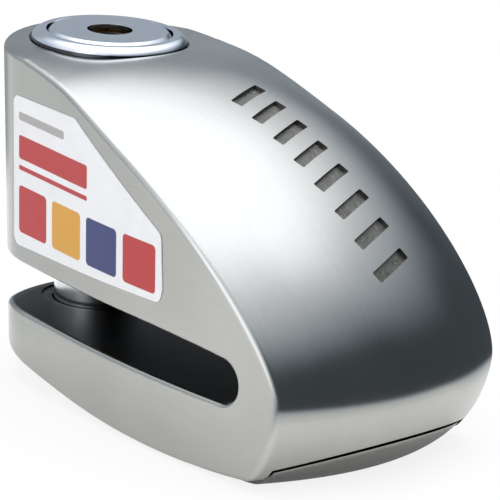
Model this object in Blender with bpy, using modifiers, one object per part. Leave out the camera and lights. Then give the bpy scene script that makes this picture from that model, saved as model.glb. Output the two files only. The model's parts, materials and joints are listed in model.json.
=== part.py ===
"""Disc brake lock with a push-down cylinder, a round locking pin and an alarm module in its base.

Units are metres and +Z is up. The pieces are drawn from the locking pin's axis, with +X towards
the nose, and then placed so that the origin lies in the middle of the flat base.
"""

import math

import bmesh
import bpy
from mathutils import Matrix, Vector

# Clearances
GAP = 0.0003
CUT = 0.002

# Plan of the body, measured at PLAN_Z
PLAN_Z = 0.0211
BACK_CENTRE_X = 0.00403
BACK_RADIUS = 0.01785
TAPER = math.radians(12.6)
FLANK_STRAIGHT = 0.015
FLANK_RADIUS = 0.216
FLANK_SWEEP = math.radians(22)
DRAFT = 0.0627

# Side view of the body
DECK_Z = 0.0569
DECK_END_X = 0.010
DECK_PULL = 0.029
DECK_FALL_RADIUS = 0.225
NOSE_X = 0.07224
NOSE_Z = 0.0147
NOSE_PULL = 0.0159
NOSE_UNDERCUT = 0.009
NOSE_ROUNDING = 1.6
CROWN_RADIUS_DECK = 0.200
CROWN_RADIUS_NOSE = 0.048
CROWN_BLEND_X = 0.024
ROCKER_X = 0.0385
ROCKER_RADIUS = 0.232
ROCKER_LIFT = 0.0003

# Slot for the brake disc
SLOT_FLOOR_Z = 0.01268
SLOT_HEIGHT = 0.00845
SLOT_END_X = 0.0574

# Lock cylinder and pin
CASE_RADIUS = 0.01015
FACE_THICKNESS = 0.00136
FACE_BEVEL = 0.0006
KEY_HOLE_RADIUS = 0.00375
PIN_RADIUS = 0.007
PIN_CHAMFER = 0.0008
SPIGOT_RADIUS = 0.004
SPIGOT_LENGTH = 0.0035
DOWEL_RADIUS = 0.0008
MAGNET_RADIUS = 0.003
MAGNET_LENGTH = 0.003

# Collar round the cylinder
COLLAR_WIDTH = 0.00245
COLLAR_STEP = 0.0008
COLLAR_SINK = 0.001
COLLAR_RISE = 0.0021
COLLAR_SLEEVE_LENGTH = 0.0028
SEAL_THICKNESS = 0.0010

# Key plug, discs and latch
PLUG_RADIUS = 0.0061
PLUG_WALL = 0.00135
PLUG_FLOOR = 0.0012
DISC_COUNT = 6
DISC_HOLE_RADIUS = 0.0031
DISC_FLAT = 0.0023
SIDE_BAR_WIDTH = 0.0016
CAM_THICKNESS = 0.0016
CAM_THROW = 0.0022
CAM_PIN_RADIUS = 0.0011
LATCH_HALF_WIDTH = 0.0044
LATCH_HEIGHT = 0.0036
LATCH_TAIL_X = -0.0036
LATCH_SLACK = 0.0006

# Bushes and return spring
GUIDE_WALL = 0.0018
GUIDE_LENGTH = 0.0033
SOCKET_WALL = 0.0017
SOCKET_LENGTH = 0.0045
SPRING_WIRE = 0.0011
SPRING_TURNS = 3

# Base cover, gasket and screws
COVER_THICKNESS = 0.0026
COVER_INSET = 0.003
LIP_DEPTH = 0.007
LIP_TOP_Z = 0.006
LIP_ARCH_RADIUS = 0.086
GASKET_WIDTH = 0.0018
GASKET_THICKNESS = 0.0007
SCREW_RADIUS = 0.00125
SCREW_HEAD_RADIUS = 0.0021
SCREW_HEAD_HEIGHT = 0.0013
SCREW_SINK = 0.0003
SCREW_LENGTH = 0.0066
SCREW_SOCKET_RADIUS = 0.0009

# Alarm module in the base
SIDE_ROOM = 0.0026
TRAY_WALL = 0.001
BOARD_THICKNESS = 0.0012
BATTERY_RADIUS = 0.010
BATTERY_THICKNESS = 0.0030
CLIP_THICKNESS = 0.0003
CLIP_WIDTH = 0.005
SOUNDER_RADIUS = 0.006
SOUNDER_PORT_RADIUS = 0.0012
SOUND_HOLE_RADIUS = 0.0008
SOUND_HOLE_CIRCLE = 0.0035
SOUND_HOLE_COUNT = 6
CHIP_SIZE = 0.005
CHIP_HEIGHT = 0.001
SHOCK_RADIUS = 0.0021
HALL_SIZE = 0.0022
HALL_Y = 0.009

# Smoothness
ROUND_STEPS = 40
SMALL_STEPS = 24
HOLE_STEPS = 12
HEX_SIDES = 6
SHOULDER_STEPS = 8
DECK_STEPS = 6
CROWN_STEPS = 26
NOSE_STEPS = 10
CROWN_STRIPS = 24
ARC_STEPS = 16
SEAL_SIDES = 10
SPRING_STEPS = 12
MERGE = 0.00001

# Place of the pin's axis, so that the origin lies midway between the back and the nose
BACK_X = BACK_CENTRE_X - BACK_RADIUS - DRAFT * (DECK_Z - PLAN_Z)
PIN_X = -(NOSE_X + BACK_X) / 2

# Blocks and cutters reach past the body
HALF_SPAN = 2 * BACK_RADIUS
SKY_Z = 1.4 * DECK_Z

# Heights and radii up the lock, worked out from the sizes above
SLOT_TOP_Z = SLOT_FLOOR_Z + SLOT_HEIGHT
BORE_RADIUS = CASE_RADIUS + GAP
GUIDE_BORE = PIN_RADIUS + GAP
GUIDE_RADIUS = GUIDE_BORE + GUIDE_WALL
GUIDE_TOP_Z = SLOT_TOP_Z + GAP + GUIDE_LENGTH
BORE_FLOOR_Z = GUIDE_TOP_Z + GAP
PIN_TIP_Z = SLOT_FLOOR_Z - SOCKET_LENGTH
SOCKET_FLOOR_Z = PIN_TIP_Z - 2 * GAP
SPRING_PITCH = SPRING_WIRE + GAP / 2
CASE_BOTTOM_Z = GUIDE_TOP_Z + SPRING_TURNS * SPRING_PITCH + SPRING_WIRE + 3 * GAP
CASE_TOP_Z = DECK_Z - GAP
FACE_Z = CASE_TOP_Z + GAP
SPIGOT_TOP_Z = CASE_BOTTOM_Z - GAP + SPIGOT_LENGTH
LATCH_Z = SPIGOT_TOP_Z + 5 * GAP
LATCH_TOP_Z = LATCH_Z + LATCH_HEIGHT
LATCH_TIP_X = CASE_RADIUS + CAM_THROW - GAP / 2
CAM_Z = LATCH_TOP_Z + 2 * GAP
PLUG_Z = CAM_Z + CAM_THICKNESS + GAP
PLUG_TOP_Z = CASE_TOP_Z - 2 * GAP
DISC_Z = PLUG_Z + PLUG_FLOOR + GAP
DISC_PITCH = (PLUG_TOP_Z - DISC_Z) / (DISC_COUNT + 1)
DISC_RADIUS = PLUG_RADIUS - PLUG_WALL - GAP
COLLAR_RADIUS = BORE_RADIUS + COLLAR_WIDTH
COLLAR_SLEEVE_RADIUS = COLLAR_RADIUS - COLLAR_STEP
COLLAR_SEAT_Z = DECK_Z - COLLAR_SINK

# Heights in the base
SEAT_Z = COVER_THICKNESS + GAP
TRAY_Z = SEAT_Z + GAP
BOARD_Z = SEAT_Z + BATTERY_THICKNESS + CLIP_THICKNESS + 4 * GAP
PART_TOP_Z = BOARD_Z - GAP
TRAY_TOP_Z = BOARD_Z + BOARD_THICKNESS + TRAY_WALL + GAP
POCKET_TOP_Z = TRAY_TOP_Z + GAP
SOUNDER_HEIGHT = BATTERY_THICKNESS + GAP
SHOCK_HEIGHT = BATTERY_THICKNESS

# Places in the base, from the nose back to the rear screw
RIM = GASKET_WIDTH + 2 * GAP
POCKET_HALF_WIDTH = BATTERY_RADIUS + TRAY_WALL + SIDE_ROOM
RIM_HALF_WIDTH = POCKET_HALF_WIDTH + RIM
LIP_BACK_X = NOSE_X - LIP_DEPTH
LIP_SAG = CROWN_RADIUS_NOSE - math.sqrt(CROWN_RADIUS_NOSE ** 2 - RIM_HALF_WIDTH ** 2)
POCKET_FRONT_X = LIP_BACK_X - LIP_SAG - RIM - 4 * GAP
SOUNDER_X = POCKET_FRONT_X - TRAY_WALL - SOUNDER_RADIUS - 4 * GAP
BATTERY_X = SOUNDER_X - SOUNDER_RADIUS - CLIP_THICKNESS - BATTERY_RADIUS - 4 * GAP
POCKET_BACK_X = BATTERY_X - BATTERY_RADIUS - CLIP_THICKNESS - TRAY_WALL - 5 * GAP
REAR_SCREW_X = POCKET_BACK_X - RIM - SCREW_RADIUS - 3 * GAP
COVER_BACK_X = REAR_SCREW_X - SCREW_HEAD_RADIUS - 4 * GAP
FRONT_SCREW_X = SOUNDER_X + SOUNDER_RADIUS
FRONT_SCREW_Y = RIM_HALF_WIDTH + SCREW_RADIUS + 3 * GAP
CHIP_X = BATTERY_X + BATTERY_RADIUS + CHIP_SIZE / 2
CHIP_Y = POCKET_HALF_WIDTH - TRAY_WALL - CHIP_SIZE / 2 - 4 * GAP
SHOCK_X = CHIP_X
SHOCK_Y = SHOCK_RADIUS + TRAY_WALL + 4 * GAP - POCKET_HALF_WIDTH


def clear_scene():
    """Remove every object, so that the model starts from an empty scene."""
    for old in list(bpy.data.objects):
        bpy.data.objects.remove(old, do_unlink=True)


def make_collection(name):
    """Return a new collection that is linked to the scene."""
    group = bpy.data.collections.new(name)
    bpy.context.scene.collection.children.link(group)
    return group


def make_material(name, colour, roughness, metallic):
    """Return a Principled material."""
    material = bpy.data.materials.new(name)
    material.use_nodes = True
    shader = material.node_tree.nodes["Principled BSDF"]
    shader.inputs["Base Color"].default_value = (*colour, 1.0)
    shader.inputs["Roughness"].default_value = roughness
    shader.inputs["Metallic"].default_value = metallic
    return material


clear_scene()
PARTS = make_collection("disc_brake_lock")
CUTTERS = make_collection("cutters")

STEEL = make_material("brushed_stainless", (0.62, 0.62, 0.60), 0.35, 1.0)
CHROME = make_material("polished_chrome", (0.80, 0.82, 0.85), 0.08, 1.0)
HARDENED = make_material("hardened_steel", (0.45, 0.46, 0.47), 0.30, 1.0)
BRASS = make_material("lock_brass", (0.60, 0.44, 0.20), 0.35, 1.0)
RUBBER = make_material("black_rubber", (0.03, 0.03, 0.03), 0.80, 0.0)
PLASTIC = make_material("black_plastic", (0.05, 0.05, 0.055), 0.55, 0.0)
BOARD_GREEN = make_material("board_green", (0.04, 0.22, 0.10), 0.45, 0.0)
SPRING_STEEL = make_material("spring_steel", (0.50, 0.50, 0.52), 0.30, 1.0)


def place(obj, material):
    """Put a finished piece in the parts collection at the pin's axis."""
    PARTS.objects.link(obj)
    obj.location.x += PIN_X
    obj.data.materials.append(material)
    return obj


def as_cutter(obj):
    """Put a cutter in its own collection, drawn as wire and left out of renders."""
    CUTTERS.objects.link(obj)
    obj.location.x += PIN_X
    obj.hide_render = True
    obj.display_type = "WIRE"
    return obj


def mesh_object(name, bm):
    """Return an object made from a bmesh, with its faces pointing outwards."""
    bmesh.ops.recalc_face_normals(bm, faces=bm.faces)
    mesh = bpy.data.meshes.new(name)
    bm.to_mesh(mesh)
    bm.free()
    return bpy.data.objects.new(name, mesh)


def box(name, low, high):
    """Return a box between two corners."""
    bm = bmesh.new()
    bmesh.ops.create_cube(bm, size=1.0)
    low, high = Vector(low), Vector(high)
    size = high - low
    bmesh.ops.scale(bm, vec=size, verts=bm.verts)
    bmesh.ops.translate(bm, vec=(low + high) / 2, verts=bm.verts)
    return mesh_object(name, bm)


def prism(name, outline, start, end, along="Z"):
    """Return a closed outline swept from start to end along one axis.

    The outline's points are (x, y) along Z, (x, z) along Y and (y, z) along X.
    """
    bm = bmesh.new()
    axis = "XYZ".index(along)
    corners = []
    for point in outline:
        place_at = list(point)
        place_at.insert(axis, start)
        corners.append(bm.verts.new(place_at))
    face = bm.faces.new(corners)
    swept = bmesh.ops.extrude_face_region(bm, geom=[face])
    moved = [v for v in swept["geom"] if isinstance(v, bmesh.types.BMVert)]
    move = Vector((0, 0, 0))
    move[axis] = end - start
    bmesh.ops.translate(bm, vec=move, verts=moved)
    return mesh_object(name, bm)


def turned(name, profile, closed, steps=ROUND_STEPS, centre=(0, 0)):
    """Return a profile of (radius, height) points turned about the upright line at centre."""
    bm = bmesh.new()
    points = [bm.verts.new((r, 0, z)) for r, z in profile]
    pairs = list(zip(points, points[1:]))
    if closed:
        pairs.append((points[-1], points[0]))
    for a, b in pairs:
        bm.edges.new((a, b))
    mesh = bpy.data.meshes.new(name)
    bm.to_mesh(mesh)
    bm.free()
    obj = bpy.data.objects.new(name, mesh)
    obj.location = (centre[0], centre[1], 0)
    screw = obj.modifiers.new("turn", "SCREW")
    screw.axis = "Z"
    screw.steps = steps
    screw.render_steps = steps
    screw.use_merge_vertices = True
    screw.merge_threshold = MERGE
    screw.use_smooth_shade = True
    return obj


def rod(name, radius, low, high, steps=ROUND_STEPS, centre=(0, 0)):
    """Return a plain upright cylinder."""
    profile = [(0, high), (radius, high), (radius, low), (0, low)]
    return turned(name, profile, False, steps, centre)


def tube(name, inner, outer, low, high, steps=ROUND_STEPS, centre=(0, 0)):
    """Return a plain upright tube."""
    profile = [(outer, high), (outer, low), (inner, low), (inner, high)]
    return turned(name, profile, True, steps, centre)


def boolean(obj, tool, operation="DIFFERENCE"):
    """Cut, join or trim a piece with another object."""
    step = obj.modifiers.new(tool.name, "BOOLEAN")
    step.operation = operation
    step.solver = "EXACT"
    step.object = tool


def cut(obj, *tools):
    """Cut a piece with each of the tools in turn."""
    for tool in tools:
        boolean(obj, as_cutter(tool))


def arc(centre, radius, start, end, steps):
    """Return points along an arc, both ends included."""
    angles = [start + (end - start) * i / steps for i in range(steps + 1)]
    return [(centre[0] + radius * math.cos(a), centre[1] + radius * math.sin(a)) for a in angles]


def plan_outline(offset):
    """Return the body's plan, moved outwards by offset: back arc, straight flanks, curved flanks."""
    lean = math.pi / 2 + TAPER
    radius = BACK_RADIUS + offset
    back = (BACK_CENTRE_X, 0)
    tangent = (back[0] + BACK_RADIUS * math.cos(lean), BACK_RADIUS * math.sin(lean))
    bend_x = tangent[0] + FLANK_STRAIGHT * math.cos(TAPER) - FLANK_RADIUS * math.cos(lean)
    bend_y = tangent[1] + FLANK_STRAIGHT * math.sin(TAPER) - FLANK_RADIUS * math.sin(lean)
    flank = arc((bend_x, bend_y), FLANK_RADIUS + offset, lean - FLANK_SWEEP, lean, ARC_STEPS)
    end = arc(back, radius, lean, math.pi, ARC_STEPS)
    upper = flank + end
    lower = [(x, -y) for x, y in reversed(upper[:-1])]
    return upper + lower


def plan_block(name, inset, low, high):
    """Return the drafted block inside the plan, inset all round, between two heights."""
    bm = bmesh.new()
    rings = []
    for z in (low, high):
        outline = plan_outline(DRAFT * (z - PLAN_Z) - inset)
        rings.append([bm.verts.new((x, y, z)) for x, y in outline])
    count = len(rings[0])
    for i in range(count):
        j = (i + 1) % count
        bm.faces.new((rings[0][i], rings[0][j], rings[1][j], rings[1][i]))
    bm.faces.new(rings[0])
    bm.faces.new(rings[1])
    return mesh_object(name, bm)


def crown_curve(x):
    """Return the crown's curvature across the width at a distance from the pin's axis."""
    share = min(1, max(0, x / CROWN_BLEND_X))
    return (1 - share) / CROWN_RADIUS_DECK + share / CROWN_RADIUS_NOSE


def crown_profile():
    """Return the mid-plane crown as points, outward directions and curvatures across."""
    start = Vector((DECK_END_X, DECK_Z))
    pull_start = start + Vector((DECK_PULL, 0))
    end = Vector((NOSE_X, NOSE_Z))
    pull_end = end + Vector((0, NOSE_PULL))
    rows = []
    for i in range(DECK_STEPS):
        back = (HALF_SPAN + DECK_END_X) * (1 - i / DECK_STEPS)
        fall = back / DECK_FALL_RADIUS
        point = Vector((DECK_END_X - back, DECK_Z - back * fall / 2))
        rows.append((point, Vector((-fall, 1)).normalized(), crown_curve(point.x)))
    for i in range(CROWN_STEPS + 1):
        t = i / CROWN_STEPS
        u = 1 - t
        point = u ** 3 * start + 3 * u * u * t * pull_start + 3 * u * t * t * pull_end + t ** 3 * end
        slope = u * u * (pull_start - start) + 2 * u * t * (pull_end - pull_start) + t * t * (end - pull_end)
        slope.normalize()
        rows.append((point, Vector((-slope.y, slope.x)), crown_curve(point.x)))
    for i in range(1, NOSE_STEPS + 1):
        angle = math.pi / 2 * i / NOSE_STEPS
        ahead = max(0, math.cos(angle)) ** (2 / NOSE_ROUNDING)
        down = math.sin(angle) ** (2 / NOSE_ROUNDING)
        point = Vector((NOSE_X - NOSE_UNDERCUT * (1 - ahead), NOSE_Z * (1 - down)))
        rows.append((point, Vector((1, 0)), 1 / CROWN_RADIUS_NOSE))
    return rows


def crown_block(name):
    """Return the block under the crown and behind the nose, lofted across the width."""
    bm = bmesh.new()
    profile = crown_profile()
    sections = []
    for j in range(CROWN_STRIPS + 1):
        y = HALF_SPAN * (2 * j / CROWN_STRIPS - 1)
        section = []
        for point, outward, curvature in profile:
            edge = point - outward * (y * y * curvature / 2)
            section.append(bm.verts.new((edge.x, y, edge.y)))
        section.append(bm.verts.new((-HALF_SPAN, y, 0)))
        sections.append(section)
    count = len(sections[0])
    for left, right in zip(sections, sections[1:]):
        for i in range(count):
            k = (i + 1) % count
            bm.faces.new((left[i], left[k], right[k], right[i]))
    bm.faces.new(sections[0])
    bm.faces.new(sections[-1])
    return mesh_object(name, bm)


def rocker_block():
    """Return the block above the gently curved underside."""
    reach = math.asin((ROCKER_X + HALF_SPAN) / ROCKER_RADIUS)
    centre = (ROCKER_X, ROCKER_LIFT + ROCKER_RADIUS)
    curve = arc(centre, ROCKER_RADIUS, -math.pi / 2 - reach, -math.pi / 2 + reach, 2 * ARC_STEPS)
    outline = curve + [(curve[-1][0], SKY_Z), (curve[0][0], SKY_Z)]
    return prism("rocker_block", outline, -HALF_SPAN - CUT, HALF_SPAN + CUT, along="Y")


def slot_block():
    """Return the stadium-ended slot that the brake disc passes through."""
    half = SLOT_HEIGHT / 2
    middle = SLOT_FLOOR_Z + half
    end = arc((SLOT_END_X - half, middle), half, -math.pi / 2, math.pi / 2, ARC_STEPS)
    outline = end + [(-HALF_SPAN, SLOT_TOP_Z), (-HALF_SPAN, SLOT_FLOOR_Z)]
    return prism("slot_block", outline, -HALF_SPAN - CUT, HALF_SPAN + CUT, along="Y")


def cover_block(name, grow):
    """Return the cover's plate and arched front lip, grown by a clearance, square at the front."""
    top = COVER_THICKNESS + grow
    block = plan_block(name, COVER_INSET - grow, -CUT, LIP_TOP_Z + grow)
    low = (-HALF_SPAN, -HALF_SPAN, -2 * CUT)
    back = box(name + "_back", low, (COVER_BACK_X - grow, HALF_SPAN, SKY_Z))
    reach = math.asin(HALF_SPAN / CROWN_RADIUS_NOSE)
    centre = (LIP_BACK_X - grow - CROWN_RADIUS_NOSE, 0)
    behind = arc(centre, CROWN_RADIUS_NOSE, -reach, reach, ARC_STEPS)
    behind += [(-HALF_SPAN, HALF_SPAN), (-HALF_SPAN, -HALF_SPAN)]
    above = prism(name + "_above", behind, top, SKY_Z)
    reach = math.asin(HALF_SPAN / LIP_ARCH_RADIUS)
    crest = (0, LIP_TOP_Z + grow - LIP_ARCH_RADIUS)
    arch = arc(crest, LIP_ARCH_RADIUS, math.pi / 2 - reach, math.pi / 2 + reach, ARC_STEPS)
    sky = arch + [(-HALF_SPAN, SKY_Z), (HALF_SPAN, SKY_Z)]
    over = prism(name + "_over", sky, COVER_BACK_X, SKY_Z + HALF_SPAN, along="X")
    cut(block, back, above, over)
    return block


def screw_places():
    """Return where the three cover screws stand."""
    return [(REAR_SCREW_X, 0), (FRONT_SCREW_X, FRONT_SCREW_Y), (FRONT_SCREW_X, -FRONT_SCREW_Y)]


def make_body():
    """Solid body: crown, flanks and underside, cut for slot, cylinder, latch, socket and base."""
    body = crown_block("body_shell")
    boolean(body, as_cutter(plan_block("plan_block", 0, -CUT, SKY_Z)), "INTERSECT")
    boolean(body, as_cutter(rocker_block()), "INTERSECT")
    cut(body, slot_block())
    seat_radius = COLLAR_RADIUS + GAP
    sleeve_radius = COLLAR_SLEEVE_RADIUS + GAP
    sleeve_z = COLLAR_SEAT_Z - COLLAR_SLEEVE_LENGTH - GAP
    guide_hole = GUIDE_RADIUS + GAP
    bore = [
        (0, SKY_Z),
        (seat_radius, SKY_Z),
        (seat_radius, COLLAR_SEAT_Z - GAP),
        (sleeve_radius, COLLAR_SEAT_Z - GAP),
        (sleeve_radius, sleeve_z),
        (BORE_RADIUS, sleeve_z),
        (BORE_RADIUS, BORE_FLOOR_Z),
        (guide_hole, BORE_FLOOR_Z),
        (guide_hole, SLOT_TOP_Z - CUT),
        (0, SLOT_TOP_Z - CUT),
    ]
    cut(body, turned("bore_cutter", bore, False))
    socket_hole = GUIDE_BORE + SOCKET_WALL + GAP
    cut(body, rod("socket_cutter", socket_hole, SOCKET_FLOOR_Z, SLOT_FLOOR_Z + CUT))
    pocket_top = sleeve_z - GAP
    side = LATCH_HALF_WIDTH + GAP
    latch_pocket = box("latch_pocket", (0, -side, LATCH_Z - GAP), (LATCH_TIP_X + GAP, side, pocket_top))
    cut(body, latch_pocket)
    cut(body, cover_block("cover_recess", GAP))
    low = (POCKET_BACK_X - RIM, -RIM_HALF_WIDTH, COVER_THICKNESS)
    high = (POCKET_FRONT_X + RIM, RIM_HALF_WIDTH, SEAT_Z + GASKET_THICKNESS + GAP)
    cut(body, box("gasket_groove", low, high))
    low = (POCKET_BACK_X, -POCKET_HALF_WIDTH, COVER_THICKNESS)
    high = (POCKET_FRONT_X, POCKET_HALF_WIDTH, POCKET_TOP_Z)
    cut(body, box("alarm_pocket", low, high))
    hole_radius = SCREW_RADIUS + GAP
    hole_top = SCREW_SINK + SCREW_LENGTH + GAP
    for i, spot in enumerate(screw_places()):
        cut(body, rod(f"screw_hole_{i}", hole_radius, COVER_THICKNESS, hole_top, SMALL_STEPS, spot))
    place(body, STEEL)


def make_collar():
    """Chrome collar pressed round the cylinder, with a rounded shoulder and a seal in its bore."""
    top = COLLAR_SEAT_Z + COLLAR_RISE
    lip = COLLAR_WIDTH / 4
    rounded = []
    for i in range(SHOULDER_STEPS + 1):
        angle = math.pi / 2 * (1 - i / SHOULDER_STEPS)
        reach = BORE_RADIUS + lip + (COLLAR_WIDTH - lip) * math.cos(angle)
        rounded.append((reach, COLLAR_SEAT_Z + COLLAR_RISE * math.sin(angle)))
    foot = COLLAR_SEAT_Z - COLLAR_SLEEVE_LENGTH
    profile = [(BORE_RADIUS, top - lip / 2)] + rounded
    profile += [(COLLAR_SLEEVE_RADIUS, COLLAR_SEAT_Z), (COLLAR_SLEEVE_RADIUS, foot), (BORE_RADIUS, foot)]
    collar = turned("barrel_collar", profile, True)
    middle = foot + COLLAR_SLEEVE_LENGTH / 2
    half = SEAL_THICKNESS / 2
    seal_radius = CASE_RADIUS + GAP / 2 + half
    groove_radius = seal_radius + half + GAP
    low, high = middle - half - GAP, middle + half + GAP
    cut(collar, tube("seal_groove", BORE_RADIUS - CUT, groove_radius, low, high))
    place(collar, CHROME)
    seal_profile = arc((seal_radius, middle), half, 2 * math.pi, 0, SEAL_SIDES)[:-1]
    place(turned("collar_seal", seal_profile, True), RUBBER)


def make_bushes():
    """Hardened guide bush above the slot and socket bush below it."""
    low = SLOT_TOP_Z + GAP
    guide = tube("pin_guide_bush", GUIDE_BORE, GUIDE_RADIUS, low, GUIDE_TOP_Z)
    place(guide, HARDENED)
    high = SLOT_FLOOR_Z - GAP
    outer = GUIDE_BORE + SOCKET_WALL
    socket = tube("pin_socket_bush", GUIDE_BORE, outer, high - SOCKET_LENGTH, high)
    place(socket, HARDENED)


def make_cylinder():
    """Sliding cylinder: case, bevelled face, locking pin, cross dowel and arming magnet."""
    case = rod("cylinder_case", CASE_RADIUS, CASE_BOTTOM_Z, CASE_TOP_Z)
    cut(case, rod("plug_bore", PLUG_RADIUS + GAP, CAM_Z - GAP, CASE_TOP_Z + CUT))
    side = LATCH_HALF_WIDTH + GAP
    tail = LATCH_TAIL_X - CAM_THROW - GAP
    low = (tail, -side, LATCH_Z - GAP)
    cut(case, box("latch_way", low, (CASE_RADIUS + CUT, side, LATCH_TOP_Z + GAP)))
    cut(case, rod("cam_way", PLUG_RADIUS + GAP, LATCH_TOP_Z, CAM_Z))
    cut(case, rod("spigot_hole", SPIGOT_RADIUS + GAP, CASE_BOTTOM_Z - CUT, SPIGOT_TOP_Z + GAP))
    place(case, HARDENED)

    face_top = FACE_Z + FACE_THICKNESS
    profile = [
        (KEY_HOLE_RADIUS, face_top),
        (CASE_RADIUS - FACE_BEVEL, face_top),
        (CASE_RADIUS, face_top - FACE_BEVEL),
        (CASE_RADIUS, FACE_Z),
        (KEY_HOLE_RADIUS, FACE_Z),
    ]
    place(turned("cylinder_face", profile, True), CHROME)

    shoulder = CASE_BOTTOM_Z - GAP
    profile = [
        (0, SPIGOT_TOP_Z),
        (SPIGOT_RADIUS, SPIGOT_TOP_Z),
        (SPIGOT_RADIUS, shoulder),
        (PIN_RADIUS, shoulder),
        (PIN_RADIUS, PIN_TIP_Z + PIN_CHAMFER),
        (PIN_RADIUS - PIN_CHAMFER, PIN_TIP_Z),
        (0, PIN_TIP_Z),
    ]
    pin = turned("locking_pin", profile, False)
    magnet_top = PIN_TIP_Z + GAP + MAGNET_LENGTH
    cut(pin, rod("magnet_hole", MAGNET_RADIUS + GAP, PIN_TIP_Z - CUT, magnet_top + GAP, SMALL_STEPS))
    place(pin, CHROME)
    magnet = rod("arming_magnet", MAGNET_RADIUS, PIN_TIP_Z + GAP, magnet_top, SMALL_STEPS)
    place(magnet, HARDENED)

    dowel_z = (CASE_BOTTOM_Z + SPIGOT_TOP_Z) / 2
    dowel_reach = math.sqrt(CASE_RADIUS ** 2 - DOWEL_RADIUS ** 2) - GAP
    lay_down = Matrix.Translation((0, 0, dowel_z)) @ Matrix.Rotation(math.pi / 2, 4, "X")
    past = dowel_reach + CUT
    for piece in (case, pin):
        hole = rod(f"dowel_hole_{piece.name}", DOWEL_RADIUS + GAP, -past, past, SMALL_STEPS)
        hole.matrix_world = lay_down
        cut(piece, hole)
    dowel = rod("pin_cross_dowel", DOWEL_RADIUS, -dowel_reach, dowel_reach, SMALL_STEPS)
    dowel.matrix_world = lay_down
    place(dowel, HARDENED)


def keyed_disc(name, radius, low, high):
    """Return a disc with a D-shaped key hole."""
    disc = rod(name, radius, low, high, SMALL_STEPS)
    start = math.acos(DISC_FLAT / DISC_HOLE_RADIUS)
    outline = arc((0, 0), DISC_HOLE_RADIUS, start, 2 * math.pi - start, SMALL_STEPS)
    cut(disc, prism(name + "_key_hole", outline, low - CUT, high + CUT))
    return disc


def make_plug():
    """Turning group: drum, detainer discs, keyway disc, side bar and cam."""
    inner = PLUG_RADIUS - PLUG_WALL
    floor = PLUG_Z + PLUG_FLOOR
    profile = [
        (0, floor),
        (inner, floor),
        (inner, PLUG_TOP_Z),
        (PLUG_RADIUS, PLUG_TOP_Z),
        (PLUG_RADIUS, PLUG_Z),
        (0, PLUG_Z),
    ]
    plug = turned("key_plug", profile, False)
    front = DISC_Z + DISC_COUNT * DISC_PITCH
    bar_top = front - GAP
    half = SIDE_BAR_WIDTH / 2
    slit_low = (-half - GAP, -PLUG_RADIUS - CUT, floor)
    slit_high = (half + GAP, -inner + GAP, bar_top + GAP)
    cut(plug, box("side_bar_slit", slit_low, slit_high))
    place(plug, BRASS)
    outer = math.sqrt(PLUG_RADIUS ** 2 - half ** 2)
    bar = box("side_bar", (-half, -outer, DISC_Z), (half, -inner, bar_top))
    place(bar, HARDENED)
    for i in range(DISC_COUNT):
        low = DISC_Z + i * DISC_PITCH
        place(keyed_disc(f"detainer_disc_{i + 1}", DISC_RADIUS, low, low + DISC_PITCH - GAP), BRASS)
    place(keyed_disc("keyway_disc", DISC_RADIUS, front, PLUG_TOP_Z), BRASS)

    cam = rod("lock_cam", PLUG_RADIUS - GAP, CAM_Z, CAM_Z + CAM_THICKNESS, SMALL_STEPS)
    foot = LATCH_Z + GAP
    root = CAM_Z + CAM_THICKNESS / 2
    finger = rod("cam_finger", CAM_PIN_RADIUS, foot, root, SMALL_STEPS, (CAM_THROW, 0))
    boolean(cam, as_cutter(finger), "UNION")
    place(cam, HARDENED)


def make_latch():
    """Latch bolt that the cam finger draws in, with room for the finger's swing."""
    low = (LATCH_TAIL_X, -LATCH_HALF_WIDTH, LATCH_Z)
    high = (LATCH_TIP_X, LATCH_HALF_WIDTH, LATCH_TOP_Z)
    latch = box("latch_bolt", low, high)
    reach = CAM_PIN_RADIUS + LATCH_SLACK
    start = (CAM_THROW - reach, -CAM_PIN_RADIUS - GAP, LATCH_Z - CUT)
    end = (CAM_THROW + reach, CAM_THROW + CAM_PIN_RADIUS + GAP, LATCH_TOP_Z + CUT)
    cut(latch, box("finger_slot", start, end))
    place(latch, HARDENED)


def make_spring():
    """Return spring, held compressed between the guide bush and the cylinder while locked."""
    mean = (GUIDE_BORE + CASE_RADIUS) / 2 - GAP
    low = GUIDE_TOP_Z + GAP + SPRING_WIRE / 2
    curve = bpy.data.curves.new("return_spring", "CURVE")
    curve.dimensions = "3D"
    curve.bevel_depth = SPRING_WIRE / 2
    curve.bevel_resolution = 1
    curve.use_fill_caps = True
    spline = curve.splines.new("POLY")
    count = SPRING_TURNS * SPRING_STEPS
    spline.points.add(count)
    for i in range(count + 1):
        angle = 2 * math.pi * i / SPRING_STEPS
        rise = low + SPRING_PITCH * i / SPRING_STEPS
        spline.points[i].co = (mean * math.cos(angle), mean * math.sin(angle), rise, 1)
    place(bpy.data.objects.new("return_spring", curve), SPRING_STEEL)


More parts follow.
